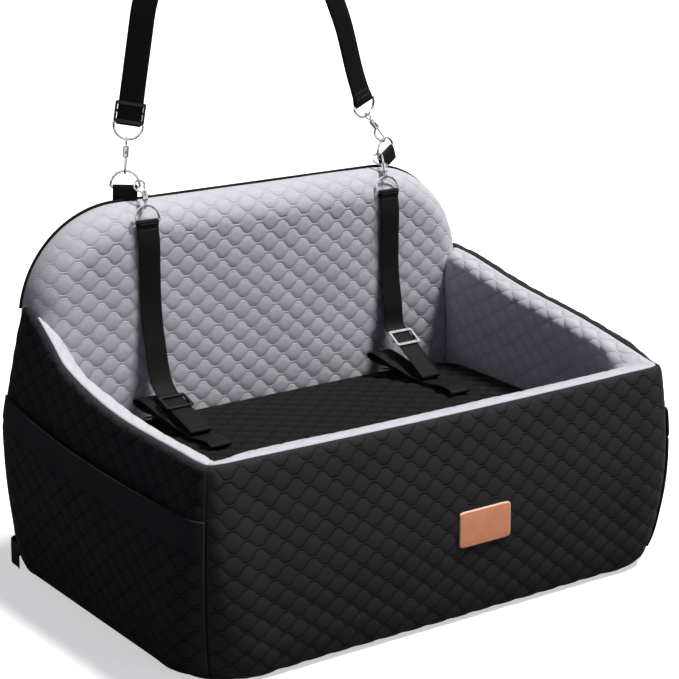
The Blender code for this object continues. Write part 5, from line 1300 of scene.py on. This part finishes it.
RIGHT_TAB_LINE = (
    (0.2424, 0.2248, 0.4685), (0.2349, 0.2223, 0.4855), (0.2342, 0.2224, 0.4868),
    (0.2335, 0.2232, 0.4877), (0.2329, 0.2245, 0.488), (0.2326, 0.2259, 0.4877),
    (0.2327, 0.227, 0.4868), (0.2331, 0.2275, 0.4855), (0.2406, 0.2301, 0.4685))
LEFT_TAB_ACROSS = (0.839, -0.545, -0.017)
RIGHT_TAB_ACROSS = (0.857, 0.295, 0.423)
print("tabs' lines:", len(LEFT_TAB_LINE), "points each")

# %% Tape meshes
TAPE_WIDTH = 0.032
TAPE = 0.0014
TAPE_STEP = 2.0 * MM
# Section of the tape: across in half widths, up in half thicknesses
TAPE_SECTION = ((-0.97, -0.86), (-0.6, -1.0), (0.0, -0.94), (0.6, -1.0), (0.97, -0.86),
                (1.0, 0.0), (0.97, 0.86), (0.6, 1.0), (0.0, 0.94), (-0.6, 1.0), (-0.97, 0.86),
                (-1.0, 0.0))


def tape_frames(line, across):
    """Centre, width direction, normal and length along; across is one way or a table."""
    both = np.concatenate([line, np.broadcast_to(across, (len(line), 3))], axis=1)
    fine = refine(both[:, None, :3], TAPE_STEP)[:, 0]
    knots = np.concatenate([[0], np.cumsum(np.linalg.norm(np.diff(both[:, :3], axis=0), axis=1))])
    counts = [max(1, int(round(float(d) / TAPE_STEP))) for d in np.diff(knots)]
    place_at = np.concatenate([np.linspace(a, b, n, endpoint=False)
                               for a, b, n in zip(knots[:-1], knots[1:], counts)] + [knots[-1:]])
    side = np.stack([np.interp(place_at, knots, both[:, 3 + i]) for i in range(3)], axis=1)
    way = np.gradient(fine, axis=0)
    way /= np.linalg.norm(way, axis=1, keepdims=True)
    side -= way * (side * way).sum(axis=1, keepdims=True)
    side /= np.linalg.norm(side, axis=1, keepdims=True)
    return fine, side, np.cross(side, way), place_at


def tape(name, line, across, node):
    fine, side, normal, far = tape_frames(line, across)
    points, cloth = [], []
    for i in range(len(fine)):
        for s, t in TAPE_SECTION:
            points.append(fine[i] + side[i] * s * TAPE_WIDTH / 2 + normal[i] * t * TAPE / 2)
            cloth.append((s * TAPE_WIDTH / 2, far[i], 1.0))
    faces = bar_faces(len(fine), len(TAPE_SECTION))
    made = new_piece(name, points, faces, webbing_cloth, cloth)
    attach(made, "seat")
    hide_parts(node)
    print(name, round(1000 * far[-1]), "mm long")
    return fine, side, normal, far


tapes = {name: tape(name, line, across, node) for name, line, across, node in (
    ("headrest_strap", STRAP_LINE, STRAP_ACROSS, "strap_webbing"),
    ("left_tether_tape", LEFT_TETHER_LINE, ACROSS_X, "left_tether_webbing"),
    ("right_tether_tape", RIGHT_TETHER_LINE, ACROSS_X, "right_tether_webbing"),
    ("left_belt_tape", LEFT_LOOP_LINE, ACROSS_Z, "left_belt_loop"),
    ("right_belt_tape", RIGHT_LOOP_LINE, ACROSS_Z, "right_belt_loop"),
    ("left_tab_tape", LEFT_TAB_LINE, LEFT_TAB_ACROSS, "left_ring_tab"),
    ("right_tab_tape", RIGHT_TAB_LINE, RIGHT_TAB_ACROSS, "right_ring_tab"))}

# %% [markdown]
# ## Stitches
# Where a tape is sewn, two rows of stitches cross it.  Each stitch is a small pill of thread,
# 2.6 mm long, that sinks halfway into the tape.

# %% Stitch rows
STITCH = 2.6 * MM
STITCH_GAP = 0.9 * MM
THREAD = 0.55 * MM
SELVEDGE = 2.5 * MM
TETHER_SEWN = (34 * MM, 41 * MM)
STRAP_SEWN = {"end": (4 * MM, 12 * MM), "front": (44 * MM, 52 * MM)}
# Rings of a stitch: place along in stitch lengths, and girth in thread thicknesses
PILL_RINGS = ((-0.5, 0.35), (-0.35, 0.9), (0.0, 1.0), (0.35, 0.9), (0.5, 0.35))
PILL_SIDES = 6


def pill(points, faces, middle, along, out, side):
    """One stitch: a short rounded bar."""
    start = len(points)
    for far, girth in PILL_RINGS:
        for k in range(PILL_SIDES):
            a = 2 * pi * k / PILL_SIDES
            points.append(middle + along * far * STITCH
                          + (out * cos(a) + side * sin(a)) * girth * THREAD / 2)
    faces += bar_faces(len(PILL_RINGS), PILL_SIDES, start, flip=True)


def stitch_rows(name, tape_name, distances, face):
    """Rows across a tape at distances from its start, on the side that face says."""
    fine, side, normal, far = tapes[tape_name]
    points, faces = [], []
    count = int((TAPE_WIDTH - 2 * SELVEDGE) / (STITCH + STITCH_GAP))
    for distance in distances:
        i = int(np.argmin(np.abs(far - distance)))
        for k in range(count):
            s = (k - (count - 1) / 2) * (STITCH + STITCH_GAP)
            middle = fine[i] + side[i] * s + normal[i] * face * TAPE / 2
            pill(points, faces, middle, side[i], normal[i], np.cross(side[i], normal[i]))
    made = new_piece(name, points, faces, highlighted_thread)
    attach(made, "seat")
    print(name, len(distances), "rows of", count)


for side in ("left", "right"):
    stitch_rows(side + "_tether_stitches", side + "_tether_tape", TETHER_SEWN, -1)
strap_end = tapes["headrest_strap"][3][-1]
for part, sewn in STRAP_SEWN.items():
    stitch_rows(f"strap_{part}_stitches", "headrest_strap", [strap_end - far for far in sewn], 1)

# %% [markdown]
# ## Leather patch
# A small tag of tan leather is sewn to the front, and here it is bare.  It follows the bulge of
# the front, its edges are rounded and lighter where the knife cut them, and the grain is fine.

# %% Patch
PATCH_SIZE = (80 * MM, 46 * MM)
PATCH_AT = (38.5 * MM, 126 * MM)
PATCH_THICK = 1.9 * MM
PATCH_GRID = (65, 41)
PATCH_POWER = 14
PATCH_LINE = 3.4 * MM
PATCH_BEVEL = 1.4 * MM


def leather(name, ground, deep, edge):
    made, tree, shader = blank(name)
    cloth = sewn_place(tree)
    parts = add(tree, "ShaderNodeSeparateXYZ", {0: cloth})
    clouds = add(tree, "ShaderNodeTexNoise", {"Vector": cloth, "Scale": 1 / (16 * MM),
                                              "Detail": 4.0})
    grain = add(tree, "ShaderNodeTexVoronoi", {"Vector": cloth, "Scale": 1 / (1.3 * MM)})
    colour = mixed(tree, clouds.outputs["Fac"], linear(ground), linear(deep))
    colour = mixed(tree, parts.outputs[2], colour, linear(edge))
    finished(tree, shader, colour, 0.55, 0.4, grain.outputs["Distance"], 0.35, 0.2)
    return made


tan_leather = leather("tan_vegetable_leather", "#f8aa86", "#ee9468", "#fac2a6")
front_top = wall_top("front", 0.5)
points, places = [], []
for u in np.linspace(-1, 1, PATCH_GRID[0]):
    for v in np.linspace(-1, 1, PATCH_GRID[1]):
        fit = float(squared(u, v, PATCH_POWER))
        x, dz = u * fit * PATCH_SIZE[0] / 2, v * fit * PATCH_SIZE[1] / 2
        edge = min((1 - abs(u)) * PATCH_SIZE[0] / 2, (1 - abs(v)) * PATCH_SIZE[1] / 2)
        z = PATCH_AT[1] + dz
        lift = PATCH_THICK * (1 - 0.35 * (1 - min(edge / PATCH_BEVEL, 1.0)) ** 2)
        lift -= groove(edge - PATCH_LINE, 0.25, 0.5)
        y = face_out(z, front_top) - HALF_DEPTH - 3 * FIT - lift
        points.append((PATCH_AT[0] + x, y, z))
        places.append((x, z, float(1 - smoothstep(edge, 0.5 * MM, 2.2 * MM))))
rim = grid_rim(*PATCH_GRID)
start = len(points)
for i in rim:
    px, py, pz = points[i]
    points.append((px, face_out(pz, front_top) - HALF_DEPTH - 0.5 * FIT, pz))
    places.append((px - PATCH_AT[0], pz, 1.0))
faces = grid_faces(*PATCH_GRID) + between(rim, range(start, len(points)))
patch = new_piece("front_leather_patch", points, faces, tan_leather, places)
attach(patch, "seat")
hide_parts("leather_patch")
print("patch", [round(1000 * s) for s in PATCH_SIZE], "mm")

# %% [markdown]
# ## Metal
# The rings and snaps are zinc castings with a bright plate.  The strap's slider and the left
# tether's slider are dark nickel.  Their solids already have the right shape, so only the
# finish changes.  The board inside the base gets its grey here too.

# %% Metal finishes
# The zinc finish carries painted reflections in its colour.
DARK_NODES = ("strap_slider", "left_tether_slider")
METAL_WORDS = ("ring", "snap", "swivel", "bolt", "slider")
for name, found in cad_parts.items():
    if name.split("_")[-1] in METAL_WORDS:
        finish = dark_nickel if name in DARK_NODES else polished_zinc
    elif name == "base_board":
        finish = stiff_board
    else:
        continue
    found.data.materials.clear()
    found.data.materials.append(finish)
print("finished", sum(1 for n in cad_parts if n.split("_")[-1] in METAL_WORDS), "metal parts")
